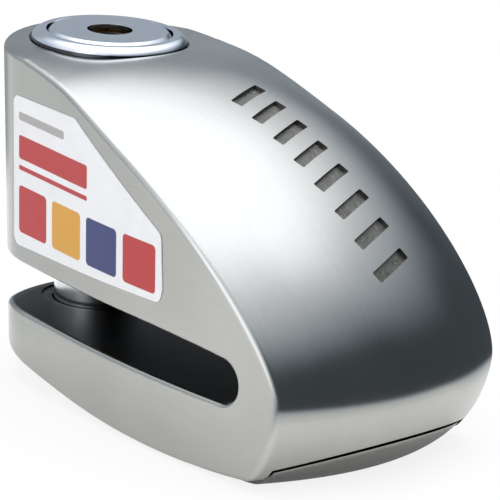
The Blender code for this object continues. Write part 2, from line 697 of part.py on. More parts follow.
def make_cover():
    """Base cover, its gasket and its countersunk screws."""
    cover = cover_block("bottom_cover", 0)
    nose = as_cutter(crown_block("nose_trim"))
    boolean(cover, nose, "INTERSECT")
    for i, spot in enumerate(screw_places()):
        sink = SCREW_SINK + SCREW_HEAD_HEIGHT
        profile = [
            (0, COVER_THICKNESS + CUT),
            (SCREW_RADIUS + GAP, COVER_THICKNESS + CUT),
            (SCREW_RADIUS + GAP, sink),
            (SCREW_HEAD_RADIUS + GAP, SCREW_SINK),
            (SCREW_HEAD_RADIUS + GAP, -CUT),
            (0, -CUT),
        ]
        cut(cover, turned(f"countersink_{i}", profile, False, SMALL_STEPS, spot))
    ports = [(SOUNDER_X, 0)]
    ports += arc((SOUNDER_X, 0), SOUND_HOLE_CIRCLE, 0, 2 * math.pi, SOUND_HOLE_COUNT)[:-1]
    for i, spot in enumerate(ports):
        hole = rod(f"sound_hole_{i}", SOUND_HOLE_RADIUS, -CUT, COVER_THICKNESS + CUT, HOLE_STEPS, spot)
        cut(cover, hole)
    place(cover, STEEL)

    inner = GAP / 3
    outer = inner + GASKET_WIDTH
    low = (POCKET_BACK_X - outer, -POCKET_HALF_WIDTH - outer, SEAT_Z)
    high = (POCKET_FRONT_X + outer, POCKET_HALF_WIDTH + outer, SEAT_Z + GASKET_THICKNESS)
    gasket = box("cover_gasket", low, high)
    low = (POCKET_BACK_X - inner, -POCKET_HALF_WIDTH - inner, SEAT_Z - CUT)
    high = (POCKET_FRONT_X + inner, POCKET_HALF_WIDTH + inner, SEAT_Z + GASKET_THICKNESS + CUT)
    cut(gasket, box("gasket_window", low, high))
    place(gasket, RUBBER)

    for i, spot in enumerate(screw_places()):
        head_top = SCREW_SINK + SCREW_HEAD_HEIGHT
        end = SCREW_SINK + SCREW_LENGTH
        profile = [
            (0, end),
            (SCREW_RADIUS, end),
            (SCREW_RADIUS, head_top),
            (SCREW_HEAD_RADIUS, SCREW_SINK),
            (0, SCREW_SINK),
        ]
        screw = turned(f"cover_screw_{i + 1}", profile, False, SMALL_STEPS, spot)
        cut(screw, rod(f"hex_{i}", SCREW_SOCKET_RADIUS, -CUT, head_top, HEX_SIDES, spot))
        place(screw, HARDENED)


def make_alarm():
    """Alarm module: tray, board and what the board carries on its underside."""
    low = (POCKET_BACK_X + GAP, -POCKET_HALF_WIDTH + GAP, TRAY_Z)
    high = (POCKET_FRONT_X - GAP, POCKET_HALF_WIDTH - GAP, TRAY_TOP_Z)
    tray = box("alarm_tray", low, high)
    wall = GAP + TRAY_WALL
    low = (POCKET_BACK_X + wall, -POCKET_HALF_WIDTH + wall, TRAY_Z - CUT)
    high = (POCKET_FRONT_X - wall, POCKET_HALF_WIDTH - wall, TRAY_TOP_Z - TRAY_WALL)
    cut(tray, box("tray_inside", low, high))
    place(tray, PLASTIC)

    edge = wall + GAP
    back, front, side = POCKET_BACK_X + edge, POCKET_FRONT_X - edge, POCKET_HALF_WIDTH - edge
    board = box("circuit_board", (back, -side, BOARD_Z), (front, side, BOARD_Z + BOARD_THICKNESS))
    place(board, BOARD_GREEN)

    spot = (BATTERY_X, 0)
    cell_low = PART_TOP_Z - BATTERY_THICKNESS
    place(rod("coin_cell", BATTERY_RADIUS, cell_low, PART_TOP_Z, ROUND_STEPS, spot), CHROME)
    reach = BATTERY_RADIUS + GAP
    strap = cell_low - GAP
    outline = [
        (BATTERY_X - reach, PART_TOP_Z),
        (BATTERY_X - reach - CLIP_THICKNESS, PART_TOP_Z),
        (BATTERY_X - reach - CLIP_THICKNESS, strap - CLIP_THICKNESS),
        (BATTERY_X + reach + CLIP_THICKNESS, strap - CLIP_THICKNESS),
        (BATTERY_X + reach + CLIP_THICKNESS, PART_TOP_Z),
        (BATTERY_X + reach, PART_TOP_Z),
        (BATTERY_X + reach, strap),
        (BATTERY_X - reach, strap),
    ]
    clip = prism("battery_clip", outline, -CLIP_WIDTH / 2, CLIP_WIDTH / 2, along="Y")
    place(clip, SPRING_STEEL)

    low = PART_TOP_Z - SOUNDER_HEIGHT
    spot = (SOUNDER_X, 0)
    sounder = rod("piezo_sounder", SOUNDER_RADIUS, low, PART_TOP_Z, ROUND_STEPS, spot)
    port_top = low + SOUNDER_HEIGHT / 2
    cut(sounder, rod("sounder_port", SOUNDER_PORT_RADIUS, low - CUT, port_top, SMALL_STEPS, spot))
    place(sounder, PLASTIC)

    half = CHIP_SIZE / 2
    chip_low = (CHIP_X - half, CHIP_Y - half, PART_TOP_Z - CHIP_HEIGHT)
    chip = box("control_chip", chip_low, (CHIP_X + half, CHIP_Y + half, PART_TOP_Z))
    place(chip, PLASTIC)
    sensor_low = PART_TOP_Z - SHOCK_HEIGHT
    sensor = rod("shock_sensor", SHOCK_RADIUS, sensor_low, PART_TOP_Z, SMALL_STEPS, (SHOCK_X, SHOCK_Y))
    place(sensor, HARDENED)
    half = HALL_SIZE / 2
    hall_low = (back, HALL_Y - half, PART_TOP_Z - HALL_SIZE)
    hall = box("hall_sensor", hall_low, (back + HALL_SIZE / 2, HALL_Y + half, PART_TOP_Z))
    place(hall, PLASTIC)


make_body()
make_collar()
make_bushes()
make_cylinder()
make_plug()
make_latch()
make_spring()
make_cover()
make_alarm()
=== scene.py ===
"""Disc brake lock: finished surfaces, materials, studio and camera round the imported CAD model."""

import json
import math

import bmesh
import bpy
import numpy as np
from mathutils import Matrix, Vector


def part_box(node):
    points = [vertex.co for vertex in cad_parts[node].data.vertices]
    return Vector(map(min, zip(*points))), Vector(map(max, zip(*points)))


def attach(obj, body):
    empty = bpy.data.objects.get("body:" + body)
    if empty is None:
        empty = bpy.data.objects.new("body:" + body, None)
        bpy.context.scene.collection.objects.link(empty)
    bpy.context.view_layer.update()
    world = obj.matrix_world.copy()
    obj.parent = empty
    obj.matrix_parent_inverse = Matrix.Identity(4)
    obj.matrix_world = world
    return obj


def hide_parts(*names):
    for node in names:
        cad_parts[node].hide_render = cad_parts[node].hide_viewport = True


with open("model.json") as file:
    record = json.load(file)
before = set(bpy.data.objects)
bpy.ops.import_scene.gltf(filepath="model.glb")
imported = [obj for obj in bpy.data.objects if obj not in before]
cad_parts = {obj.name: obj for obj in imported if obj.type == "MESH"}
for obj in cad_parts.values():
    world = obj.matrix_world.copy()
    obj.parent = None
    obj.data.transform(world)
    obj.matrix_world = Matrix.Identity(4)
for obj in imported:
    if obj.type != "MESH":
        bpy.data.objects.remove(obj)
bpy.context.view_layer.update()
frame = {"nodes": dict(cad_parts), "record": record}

bl_info = {
    "name": "Disc brake lock",
    "version": (1, 0, 0),
    "blender": (4, 5, 0),
    "location": "View3D > Sidebar > Lock",
    "description": "Builds the finished disc brake lock round its packed CAD model",
    "category": "Object",
}

NODES = frame["nodes"]
PIN_X = sum(corner.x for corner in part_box("locking_pin")) / 2

# Plan of the body from the pin's axis, measured at PLAN_Z
PLAN_Z = 0.0211
BACK_CENTRE_X = 0.00403
BACK_RADIUS = 0.01785
TAPER = math.radians(12.6)
FLANK_STRAIGHT = 0.015
FLANK_RADIUS = 0.216
FLANK_SWEEP = math.radians(22)
DRAFT = 0.0627
RAMP_X = -0.0102
RAMP_BOW = 0.025
RAMP_SLOPE = math.radians(25)

# Side view of the body
DECK_Z = 0.0569
DECK_END_X = 0.010
DECK_PULL = 0.029
DECK_FALL_RADIUS = 0.5
NOSE_X = 0.07224
NOSE_Z = 0.0147
NOSE_PULL = 0.0159
NOSE_UNDERCUT = 0.009
NOSE_ROUNDING = 1.6
CROWN_RADIUS_DECK = 0.200
CROWN_RADIUS_NOSE = 0.048
CROWN_BLEND_X = 0.024
CROWN_EASE = 0.3
ROCKER_X = 0.0385
ROCKER_RADIUS = 0.232
ROCKER_LIFT = 0.0003
SLOT_FLOOR_Z = 0.01268
SLOT_TOP_Z = 0.02113
SLOT_END_X = 0.05690
SLOT_FALL = 0.0010
SLOT_FALL_X = 0.031
SLOT_ROUND_X = SLOT_END_X - (SLOT_TOP_Z - SLOT_FLOOR_Z - SLOT_FALL) / 2

# Sampling of the rounded body
FOOT_SAMPLES = 49
FOOT_STEPS = 4
CHUNK = 150_000
SETTLE_STEPS = 5
PROBE = 0.00002
BODY_GRID = ((-0.0180, -0.0280, -0.0011), (0.0740, 0.0280, 0.0584))
COVER_GRID = ((0.0098, -0.0265, -0.0012), (0.0740, 0.0265, 0.0088))
COVER_PITCH = 0.0006

# Cylinder, pin and collar
GAP = 0.0003
CUT = 0.002
SKY_Z = 0.08
CASE_RADIUS = 0.01015
BORE_RADIUS = CASE_RADIUS + GAP
KEY_HOLE_RADIUS = 0.00375
FACE_Z = 0.0569
FACE_TOP_Z = 0.05826
FACE_BEVEL = 0.0006
COLLAR_WIDTH = 0.00245
COLLAR_RISE = 0.0021
COLLAR_LIP = 0.0009
COLLAR_SLOPE = (12, 80)
# Height above the collar's seat of the painted shade line at its foot
COLLAR_PAINTED_SHADE = 0.00105
COLLAR_SEAT_Z = 0.0559
COLLAR_FOOT_Z = 0.0531
COLLAR_RADIUS = BORE_RADIUS + COLLAR_WIDTH
COLLAR_SLEEVE = COLLAR_RADIUS - 0.0008
PIN_RADIUS = 0.007
PIN_TIP_Z = 0.00818
PIN_CHAMFER = 0.0008
PIN_SHOULDER_Z = 0.03018
SPIGOT_RADIUS = 0.004
SPIGOT_TOP_Z = 0.03368
DOWEL_HOLE = 0.0011
DOWEL_Z = 0.03208
MAGNET_HOLE = 0.0033
MAGNET_HOLE_Z = 0.01178

# Room that the body leaves for them
SEAT_RADIUS = COLLAR_RADIUS + GAP
SEAT_Z = COLLAR_SEAT_Z - GAP
SLEEVE_RADIUS = COLLAR_SLEEVE + GAP
SLEEVE_Z = 0.0528
BORE_FLOOR_Z = 0.02503
GUIDE_HOLE = 0.0094
SOCKET_HOLE = 0.00905
SOCKET_FLOOR_Z = 0.00758
LATCH_SIDE = 0.0047
LATCH_REACH = 0.0125
LATCH_LOW_Z = 0.03488
LATCH_HIGH_Z = 0.0525

# Base cover and what it closes
COVER_THICKNESS = 0.0026
COVER_INSET = 0.003
COVER_EDGE = 0.0005
COVER_SET_BACK = 0.0002
SEAM = 0.0008
LIP_TOP_Z = 0.006
LIP_ARCH_RADIUS = 0.086
LIP_BACK_X = 0.06524
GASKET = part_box("cover_gasket")
RIM = 0.0024
GROOVE_TOP_Z = 0.0039
POCKET_BACK_X = GASKET[0].x - PIN_X + 0.0019
POCKET_FRONT_X = GASKET[1].x - PIN_X - 0.0019
POCKET_SIDE = GASKET[1].y - 0.0019
POCKET_TOP_Z = 0.0102
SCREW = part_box("cover_screw_1")
COVER_BACK_X = SCREW[0].x - PIN_X - 0.0012
SCREW_RADIUS = 0.00125
SCREW_HEAD = 0.0021
SCREW_SINK = 0.0003
SCREW_HEAD_Z = 0.0016
SCREW_END_Z = 0.0069
SCREW_HOLE_Z = 0.0072
SCREW_SOCKET = 0.0009
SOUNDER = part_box("piezo_sounder")
SOUND_HOLE = 0.0008
SOUND_CIRCLE = 0.0035
SOUND_COUNT = 6
SPRING_LOW_Z = 0.02558
SPRING_RADIUS = 0.008425
SPRING_WIRE = 0.00055
SPRING_TURNS = 3
SPRING_RISE = 0.00375

# Row of grooves on the crown, and label on the near flank, both from the pin's axis
GROOVE_X = (0.0297, 0.0344, 0.0393, 0.0440, 0.0487, 0.0534, 0.0580, 0.0624)
GROOVE_Y = 0.0025
LABEL_CORNERS = (
    (-0.0026, 0.0494), (0.0158, 0.0499), (0.0392, 0.0366),
    (0.0396, 0.0277), (0.0389, 0.0254), (-0.0025, 0.0241))
PRINT = (
    (0.0060, 0.0462, 0.0068, 0.0007, 0.0004, 0.0, "ink_grey"),
    (0.0094, 0.0410, 0.0102, 0.0020, 0.0005, 0.0, "ink_red"),
    (0.0094, 0.0375, 0.0102, 0.0004, 0.0003, 0.0, "ink_red"),
    (0.0034, 0.0305, 0.0042, 0.0040, 0.0008, 0.0, "ink_red"),
    (0.0135, 0.0305, 0.0042, 0.0040, 0.0008, 0.0, "ink_amber"),
    (0.0236, 0.0305, 0.0042, 0.0040, 0.0008, 0.0, "ink_navy"),
    (0.0337, 0.0305, 0.0042, 0.0040, 0.0008, 0.0, "ink_red"))

# Smoothness
ROUND_STEPS = 128
SMALL_STEPS = 32
CORNER_STEPS = 6
PLAN_STEPS = 48
TINY = 1e-7
SPECK = 0.00001
SKIN_LIMIT = 0.00001
ROUND_WALL = 0.02
SKIN_AGREES = 0.8
INK_SOFTNESS = 0.00006
# Depth values at which the painted shade deep in the slot and hollows starts and is full; COVER_DARK sets the
# cover's whole skin partway to that dark colour
DARK_FROM = 0.35
DARK_TO = 1.0
COVER_DARK = 0.70
# Painted highlight along the top of the cover's lip: how much it lifts the cover's darker skin, and over what
# height
COVER_PAINTED_HIGHLIGHT = 0.22
COVER_PAINTED_HIGHLIGHT_WIDTH = 0.0008
LABEL_ROWS = 30
LABEL_LIFT = 0.00001

# Studio and camera
SOFTBOX_SIZE = 1.35
SOFTBOX_PLACE = (0.05, 0.12, 1.1)
FILL_SIZE = 0.8
FILL_PLACE = (0.15, -1.0, 0.5)
FLOOR_Z = -0.0001
FLOOR_GLOW = 0.85
FLOOR_GLOW_MIRRORED = 0.2
DOME_RADIUS = 0.9
DOME_EDGES = (
    (-180, 42, 64), (-60, 56, 78), (5, 56, 78), (34, 47, 72), (60, 45, 69), (80, 38, 68),
    (100, 30, 68), (130, 36, 68), (145, 36, 68), (180, 42, 64))
FLAG_EDGES = (
    (-180, 24, 48, 0.5), (-145, 24, 48, 0.45), (-118, 20, 44, 0.15), (-75, 0, 6, 0), (-45, 27, 62, 1), (30, 26, 64, 1), (52, 18, 60, 1), (70, 14, 53, 1),
    (88, 15, 44, 1), (105, 12, 36, 1), (117, 9, 35, 0.9), (128, 24, 50, 0.64),
    (140, 28, 54, 0.64), (170, 28, 54, 0.64), (180, 26, 50, 0.5))
SIDE_LIGHT = ((-108, -94), (-80, -66))
SIDE_LIGHT_TOP = (45, 62)
SIDE_LIGHT_SHARE = 0.65
SKIRT_NEAR = ((-180, 0.018), (40, 0.018), (70, 0.030), (84, 0.042), (92, 0.057), (99, 0.073), (108, 0.100), (180, 0.100))
SKIRT_FADE = 0.028
FLOOR_LEVELS = ((-180, 0.96), (-168, 0.90), (-150, 0.93), (-125, 1.05), (-110, 1.12), (-85, 1.10), (-65, 1))
DARK_TINT = (0.84, 1.0, 1.16, 1)
DOME_TINT = (0.97, 0.99, 1.03, 1)
FLOOR_TINT = (0.995, 0.995, 0.975, 1)
SKIRT_ENDS = ((-75, -70), (165, 180))
CAMERA_ANGLES = (42.784, 15.838, 3.6025)
CAMERA_LENS = 4571.03 * 36 / 500
CAMERA_DISTANCE = 0.73468
CAMERA_TARGET = (0.034318, 0, 0.028833)


def bezier(t):
    """Return points and slopes of the crown's mid-plane curve in (x, z)."""
    start = np.array((DECK_END_X, DECK_Z))
    first = np.array((DECK_END_X + DECK_PULL, DECK_Z))
    second = np.array((NOSE_X, NOSE_Z + NOSE_PULL))
    end = np.array((NOSE_X, NOSE_Z))
    t = t[:, None]
    u = 1 - t
    point = u ** 3 * start + 3 * u * u * t * first + 3 * u * t * t * second + t ** 3 * end
    slope = 3 * (u * u * (first - start) + 2 * u * t * (second - first) + t * t * (end - second))
    bend = 6 * (u * (second - 2 * first + start) + t * (end - 2 * second + first))
    return point, slope, bend


def crown_curve(x):
    """Return the crown's curvature across the width."""
    share = np.clip(x / CROWN_BLEND_X, 0, 1 + CROWN_EASE)
    past = np.maximum(share - 1 + CROWN_EASE, 0)
    share = share - past * past / (4 * CROWN_EASE)
    return (1 - share) / CROWN_RADIUS_DECK + share / CROWN_RADIUS_NOSE


def nose_reach(z):
    """Return how far forward the nose reaches at each height below its widest point."""
    down = np.clip(1 - z / NOSE_Z, 0, 1) ** (NOSE_ROUNDING / 2)
    ahead = np.sqrt(np.clip(1 - down * down, 0, 1)) ** (2 / NOSE_ROUNDING)
    return NOSE_X - NOSE_UNDERCUT * (1 - ahead)


def crown_distance(points):
    """Return the distance above the crown and the nose, negative inside."""
    x, y, z = points.T
    place = points[:, (0, 2)]
    samples = np.linspace(0, 1, FOOT_SAMPLES)
    curve = bezier(samples)[0]
    reach = ((place[:, None, :] - curve[None, :, :]) ** 2).sum(axis=2)
    t = samples[reach.argmin(axis=1)]
    for _ in range(FOOT_STEPS):
        foot, slope, bend = bezier(t)
        away = foot - place
        pull = (away * slope).sum(axis=1)
        turn = (slope * slope).sum(axis=1) + (away * bend).sum(axis=1)
        t = np.clip(t - pull / np.maximum(turn, 1e-9), 0, 1)
    foot, slope, bend = bezier(t)
    slope /= np.linalg.norm(slope, axis=1)[:, None]
    above = (place[:, 1] - foot[:, 1]) * slope[:, 0] - (place[:, 0] - foot[:, 0]) * slope[:, 1]
    curvature = crown_curve(foot[:, 0])
    back = x < DECK_END_X
    fall = (DECK_END_X - x) / DECK_FALL_RADIUS
    deck = (z - DECK_Z + (DECK_END_X - x) * fall / 2) / np.sqrt(1 + fall * fall)
    above = np.where(back, deck, above)
    curvature = np.where(back, crown_curve(x), curvature)
    low = (z < NOSE_Z) & ~back
    above = np.where(low, x - nose_reach(z), above)
    lean = (nose_reach(z + PROBE) - nose_reach(z - PROBE)) / (2 * PROBE)
    steep = np.where(low, lean * lean, 0) + (curvature * y) ** 2
    return (above + curvature * y * y / 2) / np.sqrt(1 + steep)


def plan_distance(points):
    """Return the distance outside the body's plan at PLAN_Z, negative inside."""
    x = points[:, 0]
    y = np.abs(points[:, 1])
    along = (math.cos(TAPER), math.sin(TAPER))
    out = (-math.sin(TAPER), math.cos(TAPER))
    start = (BACK_CENTRE_X + BACK_RADIUS * out[0], BACK_RADIUS * out[1])
    run = (x - start[0]) * along[0] + (y - start[1]) * along[1]
    flat = (x - start[0]) * out[0] + (y - start[1]) * out[1]
    back = np.hypot(x - BACK_CENTRE_X, y) - BACK_RADIUS
    bend_x = start[0] + FLANK_STRAIGHT * along[0] - FLANK_RADIUS * out[0]
    bend_y = start[1] + FLANK_STRAIGHT * along[1] - FLANK_RADIUS * out[1]
    bow = np.hypot(x - bend_x, y - bend_y) - FLANK_RADIUS
    return np.where(run < 0, back, np.where(run > FLANK_STRAIGHT, bow, flat))


def flank_distance(points):
    """Return the distance outside the drafted flanks, negative inside."""
    return (plan_distance(points) - DRAFT * (points[:, 2] - PLAN_Z)) / math.hypot(1, DRAFT)


def rocker_distance(points):
    """Return the distance below the curved underside, negative inside."""
    centre_z = ROCKER_LIFT + ROCKER_RADIUS
    return np.hypot(points[:, 0] - ROCKER_X, points[:, 2] - centre_z) - ROCKER_RADIUS


def slot_distance(points):
    """Return the distance outside the brake disc's slot, negative inside the slot."""
    run = np.clip((points[:, 0] - SLOT_FALL_X) / (SLOT_ROUND_X - SLOT_FALL_X), 0, 1)
    half = (SLOT_TOP_Z - SLOT_FLOOR_Z - SLOT_FALL * run * run) / 2
    ahead = np.maximum(points[:, 0] - SLOT_ROUND_X, 0)
    return np.hypot(ahead, points[:, 2] - SLOT_FLOOR_Z - half) - half


def ramp_distance(points):
    """Return the distance above the lead-in at the lower jaw's back, negative below it."""
    behind = RAMP_X + points[:, 1] ** 2 / (2 * RAMP_BOW) - points[:, 0]
    rise = points[:, 2] - SLOT_FLOOR_Z
    above = rise * math.cos(RAMP_SLOPE) + behind * math.sin(RAMP_SLOPE)
    return np.minimum(above, (SLOT_TOP_Z - SLOT_FLOOR_Z) / 2 - rise)


def round_meet(a, b, radius):
    """Return two distances met at an edge of the given radius."""
    inner = np.minimum(np.maximum(a, b), -radius)
    return inner + np.hypot(np.maximum(a + radius, 0), np.maximum(b + radius, 0))


def body_distance(points, edges):
    """Return the distance outside the body with its edges rounded, negative inside."""
    values = []
    for start in range(0, len(points), CHUNK):
        part = points[start:start + CHUNK]
        outer = round_meet(crown_distance(part), flank_distance(part), edges.crease)
        outer = round_meet(outer, rocker_distance(part), edges.base_edge)
        height = np.clip((part[:, 2] - SLOT_FLOOR_Z) / (SLOT_TOP_Z - SLOT_FLOOR_Z), 0, 1)
        lip = edges.slot_edge + (edges.slot_top_edge - edges.slot_edge) * height
        outer = round_meet(outer, -slot_distance(part), lip)
        values.append(round_meet(outer, ramp_distance(part), edges.slot_top_edge))
    return np.concatenate(values)


def slopes(distance, points):
    """Return the direction in which a distance grows fastest at each point."""
    parts = []
    for axis in range(3):
        step = np.zeros(3)
        step[axis] = PROBE
        parts.append((distance(points + step) - distance(points - step)) / (2 * PROBE))
    return np.stack(parts, axis=1)


def skin_of(distance, low, high, pitch):
    """Return vertices and quads of the surface where a distance is zero, sampled on a grid."""
    counts = [int(math.ceil((b - a) / pitch)) + 1 for a, b in zip(low, high)]
    axes = [a + pitch * np.arange(n) for a, n in zip(low, counts)]
    grid = np.stack(np.meshgrid(*axes, indexing="ij"), axis=-1)
    value = distance(grid.reshape(-1, 3)).reshape(counts)
    inside = value < 0
    total = np.zeros([n - 1 for n in counts] + [3])
    hits = np.zeros([n - 1 for n in counts])
    for axis in range(3):
        near = [slice(None)] * 3
        far = [slice(None)] * 3
        near[axis] = slice(0, -1)
        far[axis] = slice(1, None)
        crossing = inside[tuple(near)] != inside[tuple(far)]
        step = value[tuple(near)] - value[tuple(far)]
        share = np.where(crossing, value[tuple(near)] / np.where(crossing, step, 1), 0)
        place = grid[tuple(near)].copy()
        place[..., axis] += share * pitch
        others = [a for a in range(3) if a != axis]
        for shift in ((0, 0), (0, 1), (1, 0), (1, 1)):
            pick = [slice(None)] * 3
            for other, s in zip(others, shift):
                pick[other] = slice(s, counts[other] - 1 + s)
            total += np.where(crossing[tuple(pick)][..., None], place[tuple(pick)], 0)
            hits += crossing[tuple(pick)]
    used = hits > 0
    index = np.full(used.shape, -1)
    index[used] = np.arange(used.sum())
    points = total[used] / hits[used][:, None]
    quads = []
    for axis in range(3):
        near = [slice(1, -1)] * 3
        far = [slice(1, -1)] * 3
        near[axis] = slice(0, -1)
        far[axis] = slice(1, None)
        goes_in = ~inside[tuple(near)] & inside[tuple(far)]
        goes_out = inside[tuple(near)] & ~inside[tuple(far)]
        first, second = [a for a in range(3) if a != axis]
        for crossing, turn in ((goes_in, -1), (goes_out, 1)):
            cells = np.argwhere(crossing)
            offset = np.ones(3, int)
            offset[axis] = 0
            cells = cells + offset
            corners = []
            for a, b in ((-1, -1), (0, -1), (0, 0), (-1, 0)):
                corner = cells.copy()
                corner[:, first] += a
                corner[:, second] += b
                corners.append(index[corner[:, 0], corner[:, 1], corner[:, 2]])
            sign = turn if axis != 1 else -turn
            quads.append(np.stack(corners, axis=1)[:, ::sign])
    for _ in range(SETTLE_STEPS):
        slope = slopes(distance, points)
        size = np.maximum((slope * slope).sum(axis=1), 0.2)
        points = points - (distance(points) / size)[:, None] * slope
    return points, np.concatenate(quads)


def linked(name, mesh):
    """Return a scene object for a mesh, at the origin."""
    piece = bpy.data.objects.new(name, mesh)
    bpy.context.scene.collection.objects.link(piece)
    return piece


def mesh_piece(name, points, faces):
    """Return an object made from points measured from the pin's axis, and faces."""
    mesh = bpy.data.meshes.new(name)
    mesh.from_pydata([(x + PIN_X, y, z) for x, y, z in points], [], [tuple(f) for f in faces])
    mesh.update()
    return linked(name, mesh)


def skin_piece(name, distance, low, high, pitch):
    """Return an object whose surface is where a distance is zero, without folded specks."""
    piece = mesh_piece(name, *skin_of(distance, low, high, pitch))
    bm = bmesh.new()
    bm.from_mesh(piece.data)
    bmesh.ops.dissolve_degenerate(bm, dist=SPECK, edges=bm.edges)
    bm.to_mesh(piece.data)
    bm.free()
    return piece


def bmesh_piece(name, bm):
    """Return an object made from a bmesh measured from the pin's axis, facing outwards."""
    bmesh.ops.recalc_face_normals(bm, faces=bm.faces)
    bmesh.ops.translate(bm, verts=bm.verts, vec=(PIN_X, 0, 0))
    mesh = bpy.data.meshes.new(name)
    bm.to_mesh(mesh)
    bm.free()
    return linked(name, mesh)


def rounded(corners, radius, closed=True):
    """Return an outline with its corners rounded; an open one keeps its ends."""
    outline = []
    count = len(corners)
    for i in range(count):
        corner = Vector(corners[i])
        if not closed and i in (0, count - 1):
            outline.append(corner)
            continue
        back = Vector(corners[i - 1]) - corner
        ahead = Vector(corners[(i + 1) % count]) - corner
        half = back.angle(ahead) / 2
        trim = min(radius / math.tan(half), 0.45 * min(back.length, ahead.length))
        bow = trim * math.tan(half)
        centre = corner + (back.normalized() + ahead.normalized()).normalized() * bow / math.sin(half)
        start, end = corner + back.normalized() * trim, corner + ahead.normalized() * trim
        for k in range(CORNER_STEPS + 1):
            outline.append(centre + (start.lerp(end, k / CORNER_STEPS) - centre).normalized() * bow)
    return [tuple(p) for p in outline]


def turned(name, profile, closed, steps=ROUND_STEPS, centre=(0, 0)):
    """Return a profile of (radius, height) points turned about an upright line."""
    bm = bmesh.new()
    rings = []
    for radius, z in profile:
        count = steps if radius > TINY else 1
        spots = [2 * math.pi * i / count for i in range(count)]
        ring = [(centre[0] + radius * math.cos(a), centre[1] + radius * math.sin(a), z) for a in spots]
        rings.append([bm.verts.new(spot) for spot in ring])
    pairs = list(zip(rings, rings[1:] + rings[:1]))
    for low, high in pairs if closed else pairs[:-1]:
        for i in range(steps):
            j = (i + 1) % steps
            quad = (low[i % len(low)], low[j % len(low)], high[j % len(high)], high[i % len(high)])
            corners = list(dict.fromkeys(quad))
            if len(corners) > 2:
                bm.faces.new(corners)
    return bmesh_piece(name, bm)


def lofted(name, outlines, places, along="Z"):
    """Return a solid between two outlines with the same count of points."""
    bm = bmesh.new()
    rings = []
    for outline, place in zip(outlines, places):
        spots = [{"X": (place, a, b), "Y": (a, place, b), "Z": (a, b, place)}[along] for a, b in outline]
        rings.append([bm.verts.new(spot) for spot in spots])
    count = len(rings[0])
    for i in range(count):
        j = (i + 1) % count
        bm.faces.new((rings[0][i], rings[0][j], rings[1][j], rings[1][i]))
    bm.faces.new(rings[0])
    bm.faces.new(rings[1])
    return bmesh_piece(name, bm)


def rod(name, radius, low, high, steps=ROUND_STEPS, centre=(0, 0)):
    """Return a plain upright cylinder for cutting."""
    return turned(name, [(0, low), (radius, low), (radius, high), (0, high)], False, steps, centre)


def slab(name, low, high):
    """Return a plain box for cutting."""
    outline = [(low[0], low[1]), (high[0], low[1]), (high[0], high[1]), (low[0], high[1])]
    return lofted(name, (outline, outline), (low[2], high[2]))


def plain_mesh(piece):
    """Turn what a piece's modifiers make into its plain mesh."""
    graph = bpy.context.evaluated_depsgraph_get()
    mesh = bpy.data.meshes.new_from_object(piece.evaluated_get(graph))
    piece.modifiers.clear()
    old = piece.data
    piece.data = mesh
    bpy.data.meshes.remove(old)
    mesh.name = piece.name


def carve(piece, cutters, operation="DIFFERENCE"):
    """Cut or trim a piece with each cutter, and remove the cutters."""
    for cutter in cutters:
        modifier = piece.modifiers.new(cutter.name, "BOOLEAN")
        modifier.operation = operation
        modifier.solver = "MANIFOLD"
        modifier.object = cutter
    before = len(piece.data.vertices)
    plain_mesh(piece)
    if len(piece.data.vertices) in (0, before):
        raise RuntimeError(f"{piece.name} was not cut")
    piece.data.materials.clear()
    for cutter in cutters:
        bpy.data.objects.remove(cutter)


def smooth(piece, angle=0.6):
    """Shade a piece smooth, with its edges kept."""
    piece.data.shade_smooth()
    piece.data.set_sharp_from_angle(angle=angle)


def round_walls(piece):
    """Shade the walls that run round the pin's line as true rounds, and the rest flat."""
    mesh = piece.data
    normals = [None] * len(mesh.loops)
    for face in mesh.polygons:
        sides = []
        for corner in face.loop_indices:
            spot = mesh.vertices[mesh.loops[corner].vertex_index].co
            out = Vector((spot.x - PIN_X, spot.y, 0)).normalized()
            sides.append(out if out.dot(face.normal) > 0 else -out)
        wall = abs(face.normal.z) < ROUND_WALL and all(out.dot(face.normal) > 1 - ROUND_WALL for out in sides)
        for corner, out in zip(face.loop_indices, sides):
            normals[corner] = out if wall else face.normal.copy()
    mesh.shade_smooth()
    mesh.normals_split_custom_set(normals)


def true_normals(piece, distance):
    """Give the faces that lie on a distance's surface that surface's own normals, and return the points and which
    faces those are.
    """
    mesh = piece.data
    count = len(mesh.vertices)
    spots = np.empty(count * 3)
    mesh.vertices.foreach_get("co", spots)
    spots = spots.reshape(-1, 3) - (PIN_X, 0, 0)
    slope = slopes(distance, spots)
    slope /= np.maximum(np.linalg.norm(slope, axis=1), 1e-6)[:, None]
    near = np.abs(distance(spots)) < SKIN_LIMIT
    corners = np.empty(len(mesh.loops), int)
    mesh.loops.foreach_get("vertex_index", corners)
    totals = np.empty(len(mesh.polygons), int)
    mesh.polygons.foreach_get("loop_total", totals)
    flat = np.empty(len(mesh.polygons) * 3)
    mesh.polygons.foreach_get("normal", flat)
    owner = np.repeat(np.arange(len(totals)), totals)
    flat = flat.reshape(-1, 3)
    agrees = near[corners] & ((slope[corners] * flat[owner]).sum(axis=1) > SKIN_AGREES)
    misses = np.bincount(owner, weights=~agrees, minlength=len(totals))
    on_skin = misses == 0
    normals = np.where(on_skin[owner][:, None], slope[corners], flat[owner])
    mesh.shade_smooth()
    mesh.normals_split_custom_set(normals.tolist())
    return spots, on_skin


def point_values(piece, name, values):
    """Store a value for each point of a piece."""
    store = piece.data.attributes.new(name, "FLOAT", "POINT")
    store.data.foreach_set("value", np.asarray(values, np.float32))


def finish(piece, body, slot, *nodes):
    """Hand a piece to its body and hide the CAD nodes that it stands for; the finish slot is not used."""
    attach(piece, body)
    if nodes:
        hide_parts(*nodes)


def put(tree, kind, settings=None, sockets=None):
    """Return a new node with its settings made and its sockets set or linked."""
    node = tree.nodes.new(kind)
    for key, value in (settings or {}).items():
        setattr(node, key, value)
    for key, value in (sockets or {}).items():
        if isinstance(value, bpy.types.NodeSocket):
            tree.links.new(value, node.inputs[key])
        else:
            node.inputs[key].default_value = value
    return node


